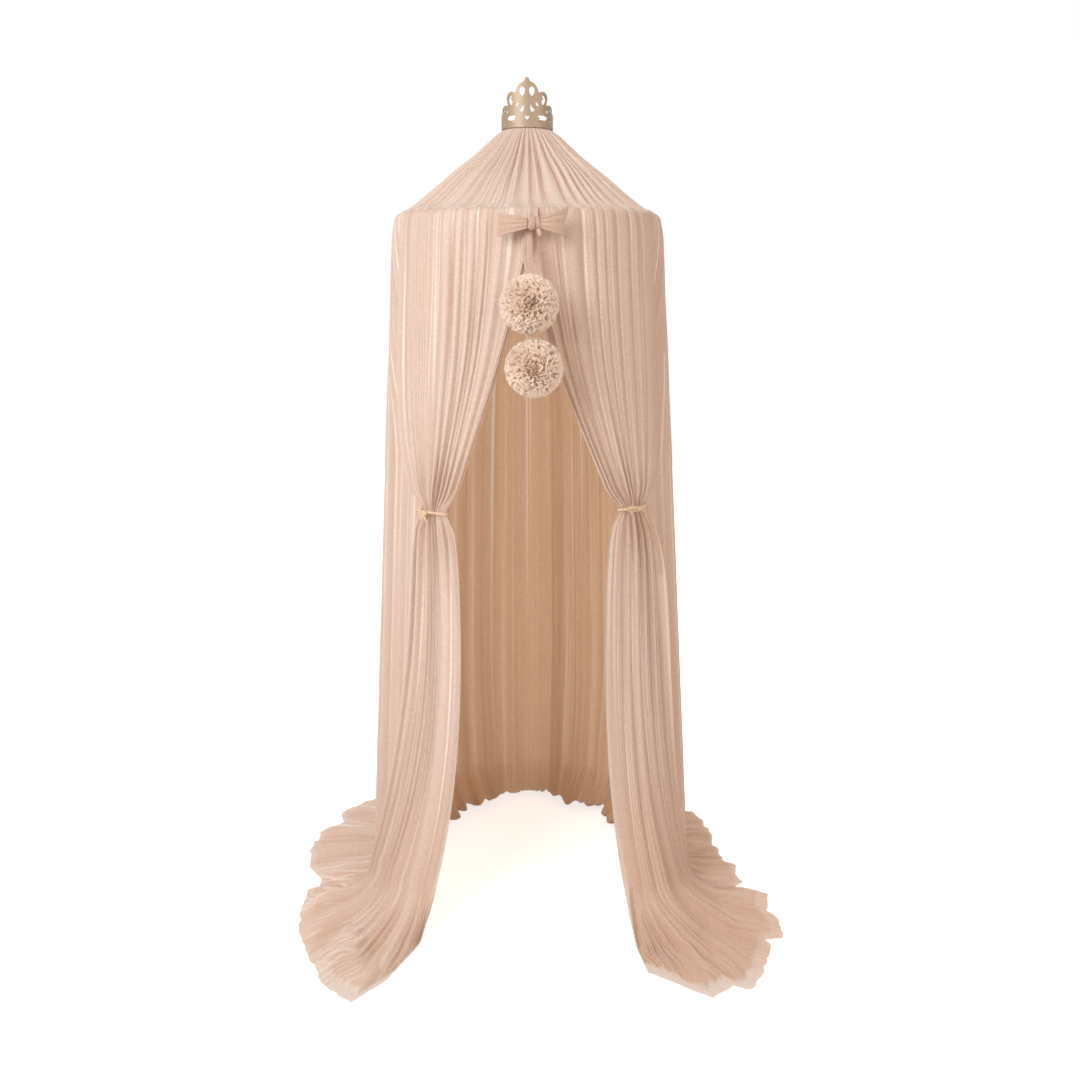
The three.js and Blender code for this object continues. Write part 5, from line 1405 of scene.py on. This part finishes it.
# Ruffles of net on a ball: strips that stand on the ball along arcs from its front to its back,
# evenly spread and a little turned at random, more so near the front. Their outer edges wave
# sideways as a sine of the way from the front, so that neighbours nest.
def petalPoints(own):
    look, seed = pompomShape, own["seed"]
    draw = np.random.default_rng(seed)
    count = look["count"]

    def between(pair):
        return draw.uniform(*pair, count)[:, None, None]

    number = np.arange(count) + 0.5
    height = 1 - 2 * number / count
    turn = np.pi * (1 + math.sqrt(5)) * number
    girth = np.sqrt(1 - height ** 2)
    ahead = asPoints(girth * np.cos(turn), height, girth * np.sin(turn))
    ahead = unit(ahead + draw.normal(0, look["tilt"], ahead.shape))
    front = unit(np.array([0.05, -1.0, 0.1]))
    away = unit(np.cross(np.cross(ahead, front), ahead) + 1e-6)
    fromFront = np.arccos(np.clip(ahead @ front, -1, 1))
    spread = look["spread"] + look["poleSpread"] * np.exp(-(fromFront / look["poleReach"]) ** 2)
    spin = (draw.normal(0, 1, count) * spread)[:, None]
    along = unit(np.cos(spin) * away + np.sin(spin) * np.cross(ahead, away))
    beside = np.cross(ahead, along)
    p = np.linspace(-1, 1, look["across"])[None, None, :]
    q = np.linspace(0, 1, look["along"])[None, :, None]
    arc = between(look["halfLength"]) / look["radius"] * p
    outward = np.cos(arc)[..., None] * ahead[:, None, None] + np.sin(arc)[..., None] * along[:, None, None]
    around = np.arctan2(ahead[:, 2], ahead[:, 0])[:, None, None]
    shift = 1.6 * (wander(3 * np.cos(around), seed + 1, 0.5, 2)
                   + wander(3 * np.sin(around), seed + 2, 0.5, 2))
    path = (fromFront[:, None, None] - arc) * look["radius"]
    phase = 2 * np.pi * path / look["waveLength"] + shift
    phase = phase + draw.normal(0, look["jitter"], count)[:, None, None]
    phase = phase + 0.9 * np.sin(phase / 2.7 + shift)
    tip = 1 - np.abs(draw.normal(0, look["ragged"], count))[:, None, None] - 0.03 * np.abs(p) ** 3
    radius = look["radius"] * mix(look["root"], tip + 0.012 * np.sin(phase * 1.7), q ** 0.85)
    side = between(look["wave"]) * q ** 0.8 * np.sin(phase) + between(look["bend"]) * q ** 2
    points = outward * radius[..., None] + side[..., None] * beside[:, None, None]
    length = np.linalg.norm(points, axis=-1, keepdims=True)
    points = points * np.minimum(1, look["radius"] / length)
    # The depth value paints shade into the heart of the ball and leaves the tips pale; a larger pale value
    # moves that painted light further in.
    depth = length[..., 0] / look["radius"] - look["paleFrom"] + own["paleHighlight"]
    return points + np.asarray(own["centre"]), smooth(depth / look["paleOver"])


# A pompom: its ruffles, and inside them a ball that holds its fill.
def makePompom(key, own):
    look = pompomShape
    points, depth = petalPoints(own)
    cell, shares = gridFaces(look["along"], look["across"])
    step = look["along"] * look["across"] * np.arange(look["count"])[:, None, None]
    petals = addMesh(f"{key}PompomPetals", points.reshape(-1, 3), [(cell[None] + step).reshape(-1, 4)],
                     [pompomNet], [np.tile(shares, (look["count"], 1, 1)) * 0.05],
                     {"depth": depth.ravel()})
    # The inner ball takes the deeper colour throughout: painted shade.
    core = addGrid(f"{key}PompomCore", ballPoints(own["centre"], look["radius"] * look["core"]), pompomNet,
                   (0.3, 0.15), closedAcross=True, capped=True, values={"depth": 0.0})
    settle(petals, f"{key}_pompom", f"{key}_pompom")
    settle(core, f"{key}_pompom")


for key, own in pompoms.items():
    makePompom(key, own)

strapLook = {
    "pompomStrap": {
        "route": [(0.0075, -0.3542, -0.2680), (0.0075, -0.3544, -0.2930), (0.0072, -0.3664, -0.3190),
                  (0.0076, -0.3950, -0.3500), (0.0080, -0.4160, -0.3770), (0.0080, -0.4245, -0.4010)],
        "half": 0.0074, "creases": 0.9, "seed": 11, "node": "upper_strap",
    },
    "pompomSideStrap": {
        "route": [(0.0030, -0.3530, -0.2680), (0.0010, -0.3536, -0.2950), (-0.0040, -0.3684, -0.3200),
                  (-0.0030, -0.3950, -0.3480), (0.0030, -0.4170, -0.3760), (0.0050, -0.4245, -0.4010)],
        "half": 0.0026, "creases": 0.3, "seed": 15, "node": "side_strap",
    },
}
strapMake = {"half": 0.0008, "points": 46, "ring": 26, "uneven": 0.12, "unevenTo": 9}


# A strap of tulle from the bow down to the upper pompom, its width a little uneven.
def makeStrap(name, own):
    look = strapMake
    count = look["points"]
    path = pathThrough(own["route"], count)
    stray = wander(np.linspace(0, look["unevenTo"], count), own["seed"], 0.5, 2)
    width = own["half"] * (1 + look["uneven"] * stray)
    # A low fold value and a layer value paint shade on the strap.
    strap = addRibbon(name, path, (1.0, 0.1, 0.0), width, look["half"], tulle, (0.013, 0.16),
                      values={"fold": 0.42, "layersAndShade": 0.25}, ring=look["ring"], boxy=0.6,
                      creases=own["creases"])
    settle(strap, "upper_pompom", own["node"])
    print(name, "area", round(areaOf(strap) / 2, 5), "length", round(lengthOf(path), 4))
    return strap


straps = {name: makeStrap(name, own) for name, own in strapLook.items()}

linkLook = {"half": 0.0024, "halfThickness": 0.0007, "points": 14}
linkLow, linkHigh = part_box("pompom_link")
upperCentre, lowerCentre = pompoms["upper"]["centre"], pompoms["lower"]["centre"]
linkX = (upperCentre[0] + lowerCentre[0]) / 2
linkPath = np.linspace((linkX, upperCentre[1], linkHigh.z), (linkX, upperCentre[1], linkLow.z),
                       linkLook["points"])
link = addRibbon("pompomLinkRibbon", linkPath, (1, 0, 0), linkLook["half"], linkLook["halfThickness"], satin,
                 (0.005, 0.02))
settle(link, "lower_pompom", "pompom_link")
print("pompoms made")

# the ties

tieRibbon = {
    "half": 0.0030, "halfThickness": 0.0007, "points": 140, "clear": 0.0022,
    "knot": (0.0034, 0.0030, 0.0040), "knotOut": 0.0018,
    "sag": 0.0012, "wave": 0.0009, "tilt": 0.25, "depthShare": 0.86,
    "endPoints": 30, "endThickness": 0.8, "endNarrow": 0.7,
    "loopFrom": 0.12, "loopTaper": 0.4, "loopAcross": (0.12, 0.15, 1.0),
}
tieBows = {
    # where the knot sits round the band (degrees from the front of the oval), loops and ends as places
    # across, out and up from the knot, in metres
    "left": {
        "knotTurn": 128,
        "loops": [
            [(0, 0.001, 0), (-0.005, 0.006, 0.0035), (-0.0125, 0.0075, 0.0040), (-0.0155, 0.006, -0.001),
             (-0.0100, 0.004, -0.0035), (0, 0.001, -0.001)],
            [(0, 0.001, 0), (0.0060, 0.006, 0.0015), (0.0130, 0.0065, -0.0020), (0.0145, 0.005, -0.0060),
             (0.0080, 0.004, -0.0050), (0, 0.001, -0.001)],
        ],
        "ends": [
            [(0, 0.002, 0), (0.0010, 0.004, -0.006), (-0.0005, 0.0050, -0.014), (-0.0020, 0.005, -0.021)],
            [(0, 0.002, 0), (0.0050, 0.005, -0.008), (0.0120, 0.0065, -0.016), (0.0170, 0.007, -0.024)],
        ],
    },
    "right": {
        "knotTurn": 46,
        "loops": [
            [(0, 0.001, 0), (0.0080, 0.006, 0.002), (0.0180, 0.0075, 0.0020), (0.0260, 0.006, -0.0040),
             (0.0140, 0.004, -0.005), (0, 0.001, -0.001)],
            [(0, 0.001, 0), (0.0140, 0.005, 0.005), (0.0340, 0.0070, -0.0010), (0.0480, 0.006, -0.0040),
             (0.0280, 0.004, -0.0070), (0, 0.001, -0.001)],
        ],
        "ends": [
            [(0, 0.002, 0), (0.0060, 0.004, -0.004), (0.0130, 0.0055, -0.009), (0.0160, 0.006, -0.015)],
        ],
    },
}


# The band's route: an oval round the waist, a little higher at the back.
def tieRoute(side, centre, along, out):
    look = tieRibbon
    turn = np.linspace(0, 2 * np.pi, look["points"], endpoint=False)[:, None]
    length = curtainSides[side]["bandHalf"] + look["clear"]
    depth = curtainLook["tieFold"] * look["depthShare"] + curtainLook["endDepth"] + look["clear"]
    sag = look["sag"] * np.cos(turn) + look["wave"] * np.sin(3 * turn + 1)
    return centre - along * length * np.cos(turn) + out * depth * np.sin(turn) - np.array([0, 0, 1]) * sag


# A loop or end of ribbon at the knot, narrow where it leaves it, and a loop also where it comes back.
def makeTieEnd(side, kind, number, places, right):
    look = tieRibbon
    count = look["endPoints"]
    path = pathThrough(places, count)
    if kind == "loops":
        across = look["loopAcross"]
        turn = np.linspace(look["loopFrom"], np.pi - look["loopFrom"], count)
        taper = np.sin(turn) ** look["loopTaper"]
    else:
        across, taper = right, np.linspace(look["endNarrow"], 1, count)
    return addRibbon(f"{side}Tie{kind.title()}{number}", path, across, look["half"] * taper,
                     look["halfThickness"] * look["endThickness"], satin, (0.006, 0.04))


# The band round one curtain, its knot on the band, and the knot's loops and ends.
def makeTie(side):
    look, own = tieRibbon, tieBows[side]
    centre, along, out = tieFrame(side, curtainSides[side]["bandHeight"] + floorZ)
    route = tieRoute(side, centre, along, out)
    tilt = look["tilt"] * np.sin(np.linspace(0, 6 * np.pi, len(route)))[:, None]
    across = np.array([[0, 0, 1.0]]) + tilt * unit(route - route.mean(axis=0))
    band = addRibbon(f"{side}TieRibbon", route, across, look["half"], look["halfThickness"], satin,
                     (0.006, 0.16), closed=True)
    settle(band, "canopy", f"tie_band_{side}")
    knotAt = route[int(own["knotTurn"] / 360 * len(route))]
    right = unit(np.array([1.0, 0, 0]) - out * out[0])
    axes = np.array([right, out, [0, 0, 1]])
    knot = addGrid(f"{side}TieKnot", ballPoints(knotAt + out * look["knotOut"], look["knot"], 12, 20), satin,
                   (0.02, 0.01), closedAcross=True, capped=True)
    settle(knot, "canopy", f"tie_bow_{side}")
    for kind in ("loops", "ends"):
        for number, places in enumerate(own[kind], 1):
            settle(makeTieEnd(side, kind, number, knotAt + np.array(places) @ axes, right), "canopy")
    return knotAt, right, out


tieKnots = {side: makeTie(side) for side in curtainSides}

tailLook = {
    # below the knot, share of the leg's width at which it lies, and how far it stands off the cloth
    "route": [(0.004, 0.72, 0.010), (0.014, 0.84, 0.009), (0.030, 0.88, 0.007), (0.060, 0.91, 0.006),
              (0.090, 0.93, 0.006), (0.120, 0.935, 0.006), (0.150, 0.94, 0.006), (0.178, 0.94, 0.006)],
    "start": 0.002, "off": (0.45, -0.9, 0),
    "half": 0.0027, "halfThickness": 0.0006, "points": 90, "window": 14, "twist": 2.2,
}


# Mean place of a curtain's cloth near a share of its width, at a height: each column is read where
# its line crosses that height.
def clothAt(points, share, z):
    middle = int(share * (points.shape[1] - 1))
    window = tailLook["window"]
    columns = points[:, max(0, middle - window):middle + window + 1]
    found = [[np.interp(z, column[::-1, 2], column[::-1, axis]) for axis in (0, 1)]
             for column in np.swapaxes(columns, 0, 1)]
    return np.append(np.mean(found, axis=0), z)


knotAt, right, out = tieKnots["right"]
route = [clothAt(curtainGrids["right"], share, knotAt[2] - below) + stand * np.array(tailLook["off"])
         for below, share, stand in tailLook["route"]]
tailPath = pathThrough([knotAt + tailLook["start"] * out] + route, tailLook["points"])
twist = np.linspace(0, tailLook["twist"], tailLook["points"])[:, None]
tail = addRibbon("rightTieTail", tailPath, np.cos(twist) * right + np.sin(twist) * out, tailLook["half"],
                 tailLook["halfThickness"], satin, (0.005, 0.21))
settle(tail, "canopy", "tie_tail_right")
print("ties made")

# the parts kept from the frame

finishes = {
    "hanging_eye": steel, "upper_washer": steel, "lower_washer": steel, "eye_nut": steel, "top_disc": beech,
    "hoop_half_front": hoopPlastic, "hoop_half_back": hoopPlastic,
    "hoop_ferrule_left": hoopPlastic, "hoop_ferrule_right": hoopPlastic,
}
for node, material in finishes.items():
    mesh = bpy.data.objects[node].data
    mesh.materials.clear()
    mesh.materials.append(material)
print("kept parts finished")
